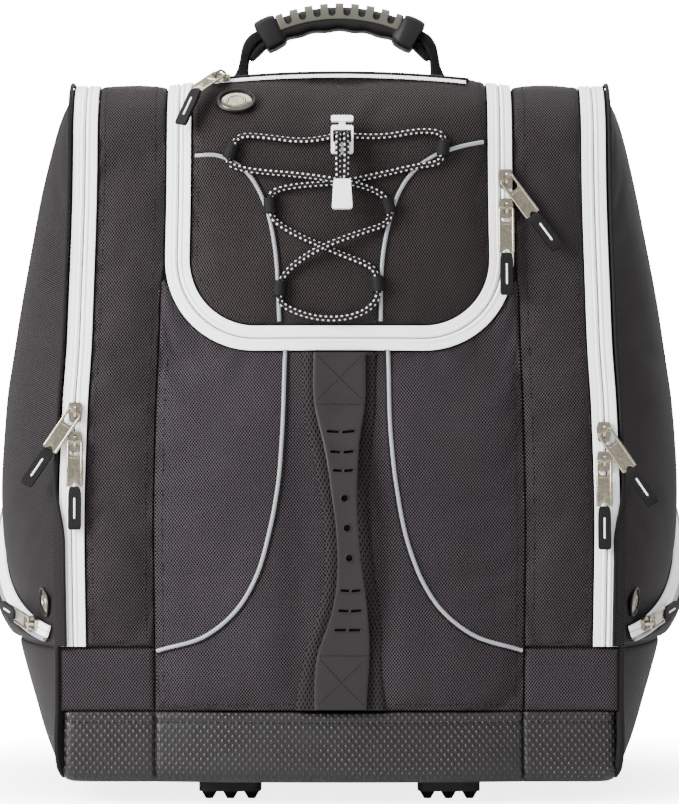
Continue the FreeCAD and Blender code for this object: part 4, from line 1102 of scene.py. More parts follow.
LOW_S = (s_front(Z_BAND + 0.5 * MM), s_front(Z_HINGE - 0.5 * MM))
LOW_BACK = (s_behind(Z_HINGE - 0.5 * MM), s_behind(Z_BAND + 0.5 * MM))
corner_parts = []
for low, high in (LOW_S, LOW_BACK):
    for seed, flip in ((8, False), (9, True)):
        one = ribbon_panel((X_SEAM + 0.5 * MM, X_CORNER - 0.6 * MM), constant(low), constant(high),
                           seed=seed, settle=False)
        corner_parts.append(mirrored(one) if flip else one)
piece("corner_covers", joined(corner_parts), FABRIC, "bag", ["lower_corner_panels"])


# ---- Base tub -----------------------------------------------------------------------------


TUB_ROW = 48.7


def tub_ring(z, inset):
    """The base's outline at a height, with rounded corners and a groove at each seam."""
    y_front = Y_FRONT + (z - Z_BAND) * math.tan(LEAN) + inset
    y_back = Y_BACK - inset
    side_x = X_CORNER - 1.0 * MM - inset
    round_by = 8.0 * MM
    edge = side_x - round_by
    seam = X_SEAM + np.array([-6, -3.5, -2, -1.1, -0.5, 0, 0.5, 1.1, 2, 3.5, 6]) * MM
    half = np.concatenate([np.linspace(0, seam[0], 20)[:-1], seam, np.linspace(seam[-1], edge, 8)[1:]])
    groove = 1.8 * MM * np.exp(-(((half - X_SEAM) / (1.2 * MM)) ** 2))
    turn = np.radians(np.arange(15, 90, 15))
    front = np.stack([half, y_front - crown(half) + groove], -1)
    bend = np.stack([edge + round_by * np.sin(turn), y_front + round_by - round_by * np.cos(turn)], -1)
    flank_y = np.linspace(y_front + round_by, y_back - round_by, 40)
    flank = np.stack([np.full(40, side_x), flank_y], -1)
    bend_back = np.stack([edge + round_by * np.cos(turn), y_back - round_by + round_by * np.sin(turn)], -1)
    back = np.stack([half[::-1], y_back + crown(half[::-1]) - groove[::-1]], -1)
    right = np.concatenate([front, bend, flank, bend_back, back])
    left = right[::-1][1:-1] * (-1, 1)
    outline = np.roll(np.concatenate([right, left]), -len(right) + 1, axis=0)
    closing = outline[:1] + (outline[-1:] - outline[:1]) * 0.01
    outline = np.concatenate([outline, closing])
    return np.column_stack([outline, np.full(len(outline), z)])


def tub():
    """The base from under its floor up the outside and down its inner face."""
    levels = [(12.0, 9.0), (12.4, 5.8), (13.6, 3.2), (15.6, 1.4), (18.4, 0.4), (21.5, 0.0)]
    levels += [(z, 0.0) for z in (25, 29, 33, 37, 41, 44, 46.5, 48, 49, 50, 51.5, 53)]
    levels += [(54.2, 0.1), (55.0, 0.7), (55.2, 1.6), (54.8, 2.6), (53, 3.2), (40, 3.4), (17, 4.0), (16, 8.0)]
    rings = np.array([tub_ring(z * MM, inset * MM) for z, inset in levels])
    pinch = np.array([0.5 * math.exp(-(((z - TUB_ROW) / 1.1) ** 2)) if inset < 0.05 else 0
                      for z, inset in levels])
    outward = rings - np.array((0, 0, 0.03))
    outward[..., 2] = 0
    outward /= np.linalg.norm(outward, axis=-1, keepdims=True)
    outer = np.array([1.0 if 3 < k < 18 else 0.0 for k in range(len(levels))])
    uneven = lumps(rings, 11, 0.06, 0.9 * MM) * outer[:, None] - (pinch * MM)[:, None]
    rings = rings + outward * uneven[..., None]
    along = np.concatenate([[0], np.cumsum([math.dist(a, b) * MM for a, b in zip(levels, levels[1:])])])
    return swept(rings, along, run_lengths(rings[8]))


tub_part = tub()
piece("tub_cover", tub_part, TARP, "bag", ["base_tub"])
TUB_TREE = surface_tree(tub_part)


# ---- Zipper tapes -------------------------------------------------------------------------

# One half of a tape: distance from the zipper's middle and height, in millimetres
TAPE_OUTLINE = np.array((
    (0.0, -1.1), (0.0, -0.3), (0.3, 0.35), (0.75, 0.95), (1.2, 1.15), (1.9, 1.15), (2.35, 0.9), (2.6, 0.45),
    (2.95, 0.45), (3.2, 0.8), (5.3, 0.88), (5.5, 0.7), (5.8, 0.7), (6.0, 0.86), (6.9, 0.8), (7.2, 0.45),
    (7.2, -0.9), (3.5, -1.2), (0.4, -1.2),
)) * MM


ZIP_GAP = 0.4 * MM


def tape_half(path, normals, way, gap=ZIP_GAP, outline=TAPE_OUTLINE):
    """Half of a zipper tape along (across, along) places, on one side of its middle."""
    width = (outline[:, 0] + gap) * way
    x = path[:, :1] + normals[:, :1] * width[None]
    s = path[:, 1:] + normals[:, 1:] * width[None]
    rings = ribbon(x, s, np.broadcast_to(outline[:, 1][None], x.shape))
    run = along_line(ribbon(path[:, 0], path[:, 1], 0.0))[0]
    return swept(rings, run, outline[:, 0] + 0.01)


def zip_teeth(path, normals, way, pitch=1.7 * MM):
    """The coil's turns that reach from half a tape into the gap."""
    run = along_line(ribbon(path[:, 0], path[:, 1], 0.0))[0]
    at = np.arange(pitch / 2 + (pitch / 2 if way > 0 else 0), run[-1], pitch)
    x, s = (np.interp(at, run, path[:, k]) for k in (0, 1))
    nx, ns = (np.interp(at, run, normals[:, k]) for k in (0, 1))
    tx, ts = -ns, nx
    corners = ((1.3, -0.33, -0.75), (-0.3, -0.28, -0.75), (-0.3, 0.28, -0.75), (1.3, 0.33, -0.75),
               (1.3, -0.3, 0.1), (-0.15, -0.2, -0.05), (-0.15, 0.2, -0.05), (1.3, 0.3, 0.1))
    points = []
    for out, along, high in corners:
        shift = (out * MM + ZIP_GAP) * way
        points.append(ribbon(x + nx * shift + tx * along * MM, s + ns * shift + ts * along * MM, high * MM))
    points = np.stack(points, 1)
    box = ((0, 1, 2, 3), (7, 6, 5, 4), (0, 4, 5, 1), (1, 5, 6, 2), (2, 6, 7, 3), (3, 7, 4, 0))
    faces = [tuple(8 * k + i for i in face[::way]) for k in range(len(at)) for face in box]
    flat = points.reshape(-1, 3)
    return flat, faces, np.zeros((len(flat), 2)), [0] * len(faces)


def zip_half(path, normals, way):
    return joined([tape_half(path, normals, way), zip_teeth(path, normals, way)])


def straight_path(x, s0, s1):
    s = np.linspace(s0, s1, round((s1 - s0) / (5 * MM)))
    path = np.stack([np.full_like(s, x), s], -1)
    return path, np.tile((1.0, 0.0), (len(s), 1))


def lid_path():
    """The lid zipper's U, from its right end round to its left one."""
    r, x = LID_CORNER, X_LID_ZIP
    s_corner, s_low = s_front(LID_LOW + LID_CORNER), s_front(LID_LOW)
    down = np.linspace(LID_BACK, s_corner, 70)
    right = np.stack([np.full_like(down, x), down], -1)
    turn = np.linspace(0, math.pi / 2, 22)[1:]
    bend = np.stack([x - r + r * np.cos(turn), s_corner - (s_corner - s_low) * np.sin(turn)], -1)
    flat = np.linspace(x - r, 0, 22)[1:]
    bottom = np.stack([flat, np.full_like(flat, s_low)], -1)
    half = np.concatenate([right, bend, bottom])
    normal = np.concatenate([
        np.tile((1.0, 0.0), (len(right), 1)),
        np.stack([np.cos(turn), -np.sin(turn)], -1),
        np.tile((0.0, -1.0), (len(bottom), 1)),
    ])
    path = np.concatenate([half, half[::-1][1:] * (-1, 1)])
    return path, np.concatenate([normal, normal[::-1][1:] * (-1, 1)])


boot_low, boot_high = s_front(Z_HINGE + 0.5 * MM), s_behind(Z_HINGE + 0.5 * MM)
boot_path, boot_normals = straight_path(X_BOOT_ZIP, boot_low, boot_high)
inner_half, outer_half = (zip_half(boot_path, boot_normals, way) for way in (-1, 1))
piece("boot_tapes", both_sides(inner_half), TAPE_WHITE, "bag", ["boot_zip_tapes"])
u_path, u_normals = lid_path()
piece("lid_tape_outer", zip_half(u_path, u_normals, 1), TAPE_WHITE, "bag", ["lid_zip_frame"])
piece("lid_tape_inner", zip_half(u_path, u_normals, -1), TAPE_WHITE, "lid", ["lid_zip_flap"])


# Where the lid pocket's zipper lies on the front bend, from the bag's top down
LID_POCKET_TURN = math.radians(22)


def lid_pocket_tape():
    """The lid pocket's zipper and the black piping that shows behind it."""
    x = np.linspace(-0.081, 0.081, 40)
    middle = S_TOP - LID_POCKET_TURN * R_FRONT
    path = np.stack([x, np.full_like(x, middle)], -1)
    normals = np.tile((0.0, 0.83), (len(x), 1))
    lifted = TAPE_OUTLINE * (0.3, 0.4) + (0, 1.7 * MM)
    halves = [tape_half(path, normals, way, 0.2 * MM, lifted) for way in (-1, 1)]
    places = [(across, middle + 4.2 * MM) for across in (-0.083, -0.04, 0.0, 0.04, 0.083)]
    behind, normal = ribbon_path(places, d=1.7 * MM)
    edge = with_material(tube(behind, 1.5 * MM, 10, normal), 1)
    return joined(halves + [edge])


piece("lid_pocket_tape", lid_pocket_tape(), [TAPE_WHITE, BLACK_PIPING], "lid", ["lid_pocket_zip"])


# ---- Doors, side walls and side pockets ---------------------------------------------------

SIDE_STEP, SIDE_THICK = 6 * MM, 3.0 * MM


def side_panel(z_low, z_high, seed, relief=None):
    """A grid of one side between two heights, from its front seam to its back one.

    A door has a relief, by which it swells. A wall has none, and its lower corners are raised.
    """
    z = z_low + spaced(z_high - z_low, SIDE_STEP)
    share = (spaced(SIDE_WIDTH, SIDE_STEP) / SIDE_WIDTH) * 0.99 + 0.005
    t = np.broadcast_to(share[None], (len(z), len(share)))
    z = np.broadcast_to(z[:, None], t.shape)
    near = np.minimum(np.minimum(t, 1 - t) * SIDE_WIDTH, np.minimum(z - z_low, z_high - z))
    if relief is None:
        corners = np.exp(-np.minimum(t, 1 - t) * SIDE_WIDTH / (7 * MM))
        z = z + 9.0 * MM * corners * (z_high - z) / (z_high - z_low)
    points = side_share(t, z, rolled(near, 4.5 * MM, 2.2 * MM))
    if relief is not None:
        points = settled_grid(points, PANEL_PRESSURE, 0.012, 3.4 * MM, relief=relief(t, z))
    uneven = lumps(points, seed, 0.06, 1.2 * MM) * np.clip(near / 0.02, 0, 1)
    if relief is not None:
        uneven = uneven * relief(t, z)
    points = points + grid_out(points) * uneven[..., None]
    return closed_shell(points, np.stack([t * SIDE_WIDTH, z], -1), SIDE_THICK)


def pocket_line(y):
    """The height of the side pocket's mouth at a depth: an arc through three places."""
    (y1, z1), (y2, z2), (y3, z3) = POCKET_FRONT, POCKET_SAG, POCKET_BACK
    d = 2 * (y1 * (z2 - z3) + y2 * (z3 - z1) + y3 * (z1 - z2))
    a, b, c = y1**2 + z1**2, y2**2 + z2**2, y3**2 + z3**2
    cy = (a * (z2 - z3) + b * (z3 - z1) + c * (z1 - z2)) / d
    cz = (a * (y3 - y2) + b * (y1 - y3) + c * (y2 - y1)) / d
    radius = math.hypot(y1 - cy, z1 - cz)
    return cz - np.sqrt(np.maximum(radius**2 - (y - cy) ** 2, 0))


def under_pocket(t, z):
    """Less swelling where the pocket lies over the door."""
    front, back = profile_range(z)
    y = np.clip(front + t * (back - front), POCKET_FRONT[0], POCKET_BACK[0])
    return 0.15 + 0.85 * smooth_step(z - pocket_line(y), 0.0, 0.03)


POCKET_CLEAR = 1.8 * MM
POCKET_TAPE = 9.6 * MM


def lip_height(share):
    """How far the pocket's mouth stands off the side, by the share of its length."""
    return POCKET_CLEAR + 1.0 * MM + 4.6 * MM * np.sin(np.pi * np.clip(share, 0, 1)) ** 0.7


def pocket_bag():
    """The pouch of a side pocket, which stands out most along its mouth."""
    y = POCKET_FRONT[0] + 0.6 * MM + spaced(POCKET_BACK[0] - POCKET_FRONT[0] - 1.2 * MM, 5 * MM)
    along = (y - POCKET_FRONT[0]) / (POCKET_BACK[0] - POCKET_FRONT[0])
    up = np.concatenate([[0, 0.02, 0.05, 0.1], np.linspace(0.16, 0.94, 16), [0.97, 1.0]])
    low, high = Z_HINGE + 2.6 * MM, pocket_line(y) - 0.4 * MM
    z = low + up[:, None] * (high - low)[None]
    y = np.broadcast_to(y[None], z.shape)
    swell = np.sqrt(1 - (1 - up[:, None]) ** 2) ** 0.8
    belly = 3.0 * MM * np.sin(np.pi * up[:, None] ** 1.6) * np.sin(np.pi * np.clip(along, 0, 1)) ** 0.6
    d = POCKET_CLEAR + 0.6 * MM + (lip_height(along) - POCKET_CLEAR - 0.6 * MM)[None] * swell + belly
    points = side(y, z, d)
    gather = lumps(points * (1, 2.2, 0.7), 21, 0.03, 1.3 * MM) * swell * np.sin(np.pi * along)[None]
    points = points + grid_out(points) * gather[..., None]
    return closed_shell(points, np.stack([y, z], -1), 1.4 * MM)


def pocket_edge():
    """Points along the pocket's mouth: depth, height, share of the way and stand-out."""
    y = np.linspace(POCKET_FRONT[0] + 1.0 * MM, POCKET_BACK[0] - 0.5 * MM, 90)
    share = (y - POCKET_FRONT[0]) / (POCKET_BACK[0] - POCKET_FRONT[0])
    return y, pocket_line(y), share


def pocket_tape():
    """The pocket's zipper, from the mouth of the pouch up to the door."""
    y, z, share = pocket_edge()
    outline = TAPE_OUTLINE * (0.56, 0.8)
    halves = []
    for way in (-1, 1):
        across = POCKET_TAPE / 2 + way * (outline[:, 0] + 0.25 * MM)
        rise = across / POCKET_TAPE
        lift = lip_height(share)[:, None] * (1 - rise)[None] + (POCKET_CLEAR + 0.6 * MM) * rise[None]
        ring_y = y[:, None] - 0.5 * across[None]
        ring_z = z[:, None] + 0.86 * across[None] + 0.6 * MM
        rings = side(np.maximum(ring_y, -0.1635), ring_z, lift + outline[:, 1][None])
        halves.append(swept(rings, along_line(rings[:, 0])[0], outline[:, 0] + 0.01))
    return joined(halves)


def pocket_piping():
    y, z, share = pocket_edge()
    points = side(y, z + 0.2 * MM, lip_height(share) + 0.5 * MM)
    return tube(points, 1.5 * MM, 10)


def oval_badge(long, tall, thick):
    """A plain oval plate with a raised rim and one raised ring. Its face looks along +Y."""
    profile = ((0.0, 0.75), (0.36, 0.75), (0.4, 1.0), (0.46, 1.0), (0.5, 0.75), (0.74, 0.7), (0.78, 0.55),
               (0.8, 0.5), (0.84, 1.15), (0.93, 1.25), (1.0, 0.9), (1.0, 0.0))
    around, plate_rings = 48, 6
    turn = full_turn(around)
    rings = []
    for share, high in profile:
        a, b = (size / 2 * max(share, 0.01) for size in (long, tall))
        rings.append([(a * math.cos(angle), thick * high, b * math.sin(angle)) for angle in turn])
    points, faces, uv, _ = swept(rings, np.arange(len(profile)) * MM, turn * MM)
    return points, faces, uv, [int(min(face) // around >= plate_rings) for face in faces]


def seat_matrix(origin, along, out):
    """A frame with Y out of the surface and Z along it."""
    out, along = Vector(out).normalized(), Vector(along).normalized()
    matrix = Matrix((out.cross(along), out, along)).transposed().to_4x4()
    matrix.translation = Vector(origin)
    return matrix


def side_badge():
    y, z = np.array(-0.150), np.array(0.121)
    normal = surface_normal(side, y, z)
    along = side(y + 1 * MM, z + 1.6 * MM, 0) - side(y, z, 0)
    along = along - normal * np.dot(along, normal)
    seat = seat_matrix(side(y, z, 0) + normal * 0.4 * MM, along, normal)
    return placed(oval_badge(13 * MM, 20 * MM, 1.4 * MM), seat)


S_FOLDED = s_front(0.196)


def folded_over(s):
    """How far a door's edge lies over its half of the tape, low on the front."""
    return 5.4 * MM * smooth_step(S_FOLDED - s, 0.0, 0.040)


def edge_fold():
    """The strip of door cloth that lies over the tape, from the side's face to the piping."""
    s = np.arange(boot_low, S_FOLDED, 4 * MM)
    rows = []
    for share in np.linspace(0, 1, 7):
        x = X_CORNER + 1.7 * MM - share * (1.4 * MM + folded_over(s))
        rise = 2.3 * MM * math.sin(math.radians(20 + 70 * share)) + 0.13 * folded_over(s)
        rows.append(ribbon(x, s, rise))
    points = np.stack(rows, axis=1)
    u, v = np.meshgrid(np.linspace(0, 0.007, 7), s)
    return closed_shell(points, np.stack([u, v], -1), 0.8 * MM)


def baggy(part):
    """The left door's shell: the right one's with an unevenness of its own away from its seams."""
    points = part[0]
    wobble = lumps(points, 17, 0.07, 1.2 * MM)
    moved = (points + np.outer(wobble, (1, 0, 0)) * smooth_step(points[:, 2], 0.12, 0.3)[:, None]
             * smooth_step(0.43 - points[:, 2], 0, 0.06)[:, None]
             * smooth_step(0.15 - np.abs(points[:, 1]), 0, 0.03)[:, None])
    return (moved, *part[1:])


def door_corner_piping():
    """The black piping along a door's seam, over the top from front to back."""
    s = np.arange(boot_low, boot_high, 4 * MM)
    normals = surface_normal(ribbon, np.full_like(s, X_CORNER), s)
    points = ribbon(X_CORNER + 0.8 * MM - folded_over(s), s, 1.6 * MM + 0.18 * folded_over(s))
    return tube(points, 1.2 * MM, 10, normals)


door_part = side_panel(Z_HINGE + 0.6 * MM, Z_TOP - 0.4 * MM, 14, under_pocket)
CLOTH = [SIDE, LINING]
for tag in ("right", "left"):
    body = "door_" + tag
    shell = door_part if tag == "right" else baggy(door_part)
    side_pieces = (
        ("door_cover", shell, CLOTH, "side_fabric", "door"),
        ("door_tape", outer_half, TAPE_WHITE, "zip_tape", "door_zip_tape"),
        ("door_edge_fold", edge_fold(), CLOTH, "side_fabric", None),
        ("corner_piping", door_corner_piping(), BLACK_PIPING, "black_piping", "door_piping"),
        ("pocket", pocket_bag(), CLOTH, "side_fabric", "side_pocket"),
        ("pocket_tape", pocket_tape(), TAPE_WHITE, "zip_tape", "side_pocket_zip"),
        ("pocket_piping", pocket_piping(), REFLECTIVE, "reflective_piping", None),
        ("pocket_badge", side_badge(), [PEWTER, BUCKLE], "nickel", None),
    )
    for name, part, material, slot_name, node in side_pieces:
        part = part if tag == "right" else mirrored(part)
        made = piece(f"{name}_{tag}", part, material, body, [f"{node}_{tag}"] if node else ())


def lower_piping():
    """The black piping down a corner below the boot zipper, which turns in under the bag."""
    z = np.concatenate([np.linspace(Z_HINGE, 0.030, 16), [0.025, 0.0205, 0.0175, 0.0158]])
    turned_in = np.array([0] * 16 + [0.6, 2.2, 5.0, 8.6]) * MM
    x = np.full_like(z, X_CORNER + 0.5 * MM)
    front = Y_FRONT + (z - Z_BAND) * math.tan(LEAN) - 0.4 * MM + turned_in
    back = np.full_like(z, Y_BACK + 0.6 * MM) - turned_in
    return joined([tube(tapered(np.stack([x, y, z], -1)), 1.5 * MM, 10) for y in (front, back)])


piece("lower_corner_piping", both_sides(lower_piping()), BLACK_PIPING, "bag")


def seam_binding():
    """Tape inside the bag behind the long seams and the cross seams over the base."""
    long_seam = (np.linspace(X_SEAM - 3.0 * MM, X_SEAM + 4.0 * MM, 5),
                 np.linspace(s_front(Z_BAND + 1 * MM), s_behind(Z_BAND + 1 * MM), 130))
    cross_seams = [(np.linspace(X_SEAM, X_CORNER - 2 * MM, 12), middle + np.linspace(-4, 4, 6) * MM)
                   for middle in (s_front(Z_HINGE), s_behind(Z_HINGE))]
    parts = []
    for x, s in [long_seam] + cross_seams:
        gx, gs = np.meshgrid(x, s)
        one = closed_shell(ribbon(gx, gs, -3.7 * MM), np.stack([gx, gs], -1), 0.8 * MM, inner_material=0)
        parts += [one, mirrored(one)]
    return joined(parts)


piece("seam_binding", seam_binding(), [LINING], "bag")

wall = side_panel(12.5 * MM, Z_HINGE - 0.4 * MM, 15)
piece("wall_covers", both_sides(wall), CLOTH, "bag", ["side_walls"])


# ---- Piping, mesh pad and carry strap on the front ----------------------------------------

LID_PIPING = (
    ((-91.0, 394.6), (-77.0, 394.2), (-66.0, 389.5), (-57.0, 382.0), (-49.5, 370.0),
     (-44.5, 357.0), (-40.5, 338.0), (-38.3, 316.0), (-37.4, 292.5)),
    ((91.0, 403.0), (74.0, 399.0), (59.5, 393.5), (46.5, 384.0), (37.0, 370.0),
     (31.5, 354.0), (27.5, 335.0), (25.8, 314.0), (25.6, 292.5)),
)
LOW_PIPING = (
    ((-33.5, 275.0), (-34.6, 222.0), (-36.8, 192.0), (-42.0, 163.0), (-50.0, 136.0), (-61.5, 116.5),
     (-80.0, 101.0), (-111.0, 91.8)),
    ((30.0, 275.0), (31.0, 222.0), (34.0, 192.0), (42.0, 153.0), (50.0, 133.0), (60.5, 117.0),
     (79.0, 102.0), (111.0, 92.0)),
)


def piping(places, tree, outer):
    """Reflective piping with its black sewn edge on one side."""
    line = np.array([(x * MM, s_front(z * MM)) for x, z in places])
    points, normals = ribbon_path(line, 2.0 * MM, 0.0, tree, 0.7 * MM)
    beside = np.cross(along_line(points)[1], normals) * outer
    edge = tube(points + beside * 1.6 * MM - normals * 0.5 * MM, 0.9 * MM, 8, normals)
    return joined([tube(points, 1.3 * MM, 12, normals), with_material(edge, 1)])


for name, body, runs, tree, node in (("lid_piping_line", "lid", LID_PIPING, LID_TREE, "lid_piping"),
                                     ("front_piping_line", "bag", LOW_PIPING, FRONT_TREE, "front_piping")):
    part = joined([piping(runs[0], tree, -1), piping(runs[1], tree, 1)])
    piece(name, part, [REFLECTIVE, BLACK_PIPING], body, [node])

# Half the width of the mesh and of the carry strap, by height
MESH_HALF = ((56.0, 27.5), (100.0, 22.0), (140.0, 15.0), (168.0, 14.0), (200.0, 16.5), (240.0, 22.0),
             (271.0, 23.0))
STRAP_HALF = ((55.0, 16.0), (90.0, 15.8), (115.0, 10.8), (140.0, 7.6), (165.0, 6.9),
              (190.0, 8.2), (215.0, 10.8), (242.0, 15.8), (275.0, 16.0))

# How far the loose carry strap and the mesh hang to one side, by height
SWAY = ((55.0, 0.5), (75.0, 1.2), (91.0, 2.7), (104.0, 4.9), (116.0, 6.3), (128.0, 6.7), (146.0, 6.0),
        (165.0, 4.7), (182.0, 3.2), (200.0, 2.2), (224.0, 0.7), (245.0, 0.0), (280.0, 0.0))
sway_at = smooth_table(SWAY)


def mesh_pad():
    """The padded mesh behind the carry strap, with a ridge along each side."""
    z = np.linspace(55.8, 273.2, 56) * MM
    half = smooth_table(MESH_HALF)(z)
    share = np.array([-1, -0.985, -0.95, -0.9, -0.82, -0.72, -0.6, -0.45, -0.3, -0.15])
    share = np.concatenate([share, [0], -share[::-1]])
    x = half[:, None] * share[None]
    s = np.broadcast_to(s_front(z)[:, None], x.shape)
    inward = (1 - np.abs(share))[None] * half[:, None]
    ridge = 2.6 * MM * np.sqrt(np.clip(1 - (1 - np.clip(inward / (5 * MM), 0, 1)) ** 2, 0, 1))
    valley = 1.0 * MM * np.exp(-(((inward - 9 * MM) / (1.6 * MM)) ** 2))
    d = 0.5 * MM + ridge - valley
    points = ribbon(x + sway_at(z)[:, None], s, d)
    points = points + np.array(OUT) * lumps(points * (1, 1, 1.6), 23, 0.012, 0.5 * MM)[..., None]
    return closed_shell(points, np.stack([x, s], -1), 1.6 * MM)


piece("mesh_pad", mesh_pad(), [MESH, MESH], "bag", ["carry_strap_mesh"])


STRAP_TOP, STRAP_THICK_FRONT = 3.0 * MM, 2.4 * MM


def strap_lift(s):
    """How far the carry strap's back stands off the crown, by the distance up the front."""
    t = np.clip((s - 34 * MM) / (152 * MM), 0, 1)
    return 3.2 * MM + 11.8 * MM * np.sin(np.pi * t) ** 1.3


def strap_sheet(z, x, out, thick):
    """A sheet of the carry strap, from its widths across and heights off the flat front."""
    s = s_front(z)
    points = np.array((0.0, Y_FRONT, Z_BAND)) + np.array(UP) * s[:, None, None]
    points = points + np.array(OUT) * out[..., None]
    points = points + np.array((1.0, 0, 0)) * (x + sway_at(z)[:, None])[..., None]
    uv = np.stack([x, np.broadcast_to(s[:, None], x.shape)], -1)
    return closed_shell(points, uv, thick, inner_material=0)


def carry_strap():
    z = np.linspace(56.0, 272.6, 110) * MM
    share = np.array([-1.0, -0.985, -0.94, -0.86, -0.6, -0.3])
    share = np.concatenate([share, [0.0], -share[::-1]])
    edge = np.array([-0.9, -0.35, -0.08, 0.0, -0.12, -0.15]) * MM
    edge = np.concatenate([edge, [-0.15 * MM], edge[::-1]])
    x = smooth_table(STRAP_HALF)(z)[:, None] * share[None]
    top = strap_lift(s_front(z))[:, None] + STRAP_TOP + edge[None]
    return strap_sheet(z, x, CROWN + top, STRAP_THICK_FRONT)


def strap_place(x, z, lift=0.0):
    s = s_front(z)
    top = float(strap_lift(np.array(s))) + STRAP_TOP + lift
    return Vector((x + float(sway_at(np.array(z))), Y_FRONT, Z_BAND)) + UP * s + OUT * (CROWN + top)


def strap_core():
    """The webbing inside the carry strap, which shows through its slots and holes."""
    z = np.linspace(94.0, 234.0, 60) * MM
    x = 0.7 * smooth_table(STRAP_HALF)(z)[:, None] * np.linspace(-1, 1, 5)[None]
    out = CROWN + strap_lift(s_front(z)) + 0.45 * MM
    return strap_sheet(z, x, np.broadcast_to(out[:, None], x.shape), 0.8 * MM)


def stadium(wide, tall, tilt, count):
    """A tilted rounded slot's outline, across and up."""
    turn = full_turn(count)
    a = np.cos(turn) * tall / 2 + np.sign(np.cos(turn)) * (wide - tall) / 2
    b = np.sin(turn) * tall / 2
    return np.stack([a * math.cos(tilt) - b * math.sin(tilt), a * math.sin(tilt) + b * math.cos(tilt)], -1)


def slot_cutter(x, z, wide, tall, tilt):
    """The shape that a slot takes out of the carry strap."""
    centre = np.array(strap_place(x, z))
    rings = [[centre + np.array((a, 0, 0)) + np.array(UP) * b + np.array(OUT) * lift
              for a, b in stadium(wide, tall, tilt, 20)] for lift in (2 * MM, -3.6 * MM)]
    return swept(np.array(rings), [0, 1])


def carved(made, cutters):
    """made with the cutters' shapes taken out of its mesh."""
    tool = new_object("cutters", make_mesh("cutters", cutters, made.data.materials))
    cut = made.modifiers.new("cut", "BOOLEAN")
    cut.operation, cut.solver, cut.object = "DIFFERENCE", "EXACT", tool
    graph = bpy.context.evaluated_depsgraph_get()
    mesh = bpy.data.meshes.new_from_object(made.evaluated_get(graph))
    made.modifiers.clear()
    made.data = mesh
    mesh.set_sharp_from_angle(angle=SHARP_EDGE)
    bpy.data.objects.remove(tool)


def raised_ring(x, z, wide, tall, tilt):
    """A low moulded lip round a hole or slot of the strap."""
    count = 28
    centre = np.array(strap_place(x, z, -0.1 * MM))
    points = np.array([centre + np.array((a, 0, 0)) + np.array(UP) * b
                       for a, b in stadium(wide, tall, tilt, count)])
    tangent = np.roll(points, -1, 0) - np.roll(points, 1, 0)
    tangent /= np.linalg.norm(tangent, axis=1, keepdims=True)
    out = np.tile(np.array(OUT), (count, 1))
    around = full_turn(8)
    ring = 0.38 * MM * circles(np.cross(tangent, out), out, around)
    return swept(points[:, None] + ring, np.arange(count) * MM, around * MM, loop=True)


# Slots in pairs: height, distance across, width and tilt; then the round holes' heights
SLOTS = ((104, 4.3, 7.0, 0.0), (115.5, 3.8, 6.2, 0.08), (127.5, 3.4, 5.4, 0.1),
         (200, 3.4, 5.4, 0.08), (211.5, 4.0, 6.2, 0.1), (224, 4.8, 7.4, 0.1))
HOLES = (147, 165, 183)
SLOT_TALL, SLOT_LIP, HOLE, HOLE_LIP = 1.5 * MM, 2.5 * MM, 4.0 * MM, 4.9 * MM
strap_cuts, strap_lips = [], []
for z, x, wide, tilt in SLOTS:
    for way in (-1, 1):
        strap_cuts.append(slot_cutter(way * x * MM, z * MM, wide * MM, SLOT_TALL, way * tilt))
        strap_lips.append(raised_ring(way * x * MM, z * MM, (wide + 1.0) * MM, SLOT_LIP, way * tilt))
for z in HOLES:
    strap_cuts.append(slot_cutter(0.0, z * MM, HOLE, HOLE, 0.0))
    strap_lips.append(raised_ring(0.0, z * MM, HOLE_LIP, HOLE_LIP, 0.0))
strap = piece("carry_strap_cover", carry_strap(), RUBBER, "bag", ["carry_strap"])
carved(strap, joined(strap_cuts))
piece("carry_strap_core", strap_core(), [WEBBING], "bag")
piece("carry_strap_lips", joined(strap_lips), RUBBER, "bag")


def strap_seams():
    """The stitched crosses and cross rows at the carry strap's two ends."""
    rows = []
    normals = np.tile(np.array(OUT), (25, 1))
    for z0, z1, z_row in ((58.5, 86.5, 88.5), (243.5, 271.0, 241.0)):
        for (xa, za), (xb, zb) in (((-14, z0), (14, z1)), ((-14, z1), (14, z0)), ((-15, z_row), (15, z_row))):
            line = [strap_place((xa + (xb - xa) * k / 24) * MM, (za + (zb - za) * k / 24) * MM, -0.1 * MM)
                    for k in range(25)]
            rows.append(stitches(np.array(line), normals, 2.6 * MM, 2.0 * MM, 0.3 * MM))
    return joined(rows)


piece("carry_strap_seams", strap_seams(), DARK_THREAD, "bag")


# ---- Cord loops and the lid's badge -------------------------------------------------------

# Each loop's distance across, height and tilt in degrees
LOOPS = (
    (-66.7, 396.3, -20.0), (-42.5, 362.8, 4.0), (-36.5, 311.8, -4.0),
    (63.8, 398.3, -6.0), (30.0, 362.4, 16.0), (23.5, 314.5, 7.0),
)


def leaned_out(lean):
    """The front's outward direction, leaned sideways."""
    return OUT * math.cos(lean) + Vector((1, 0, 0)) * math.sin(lean)


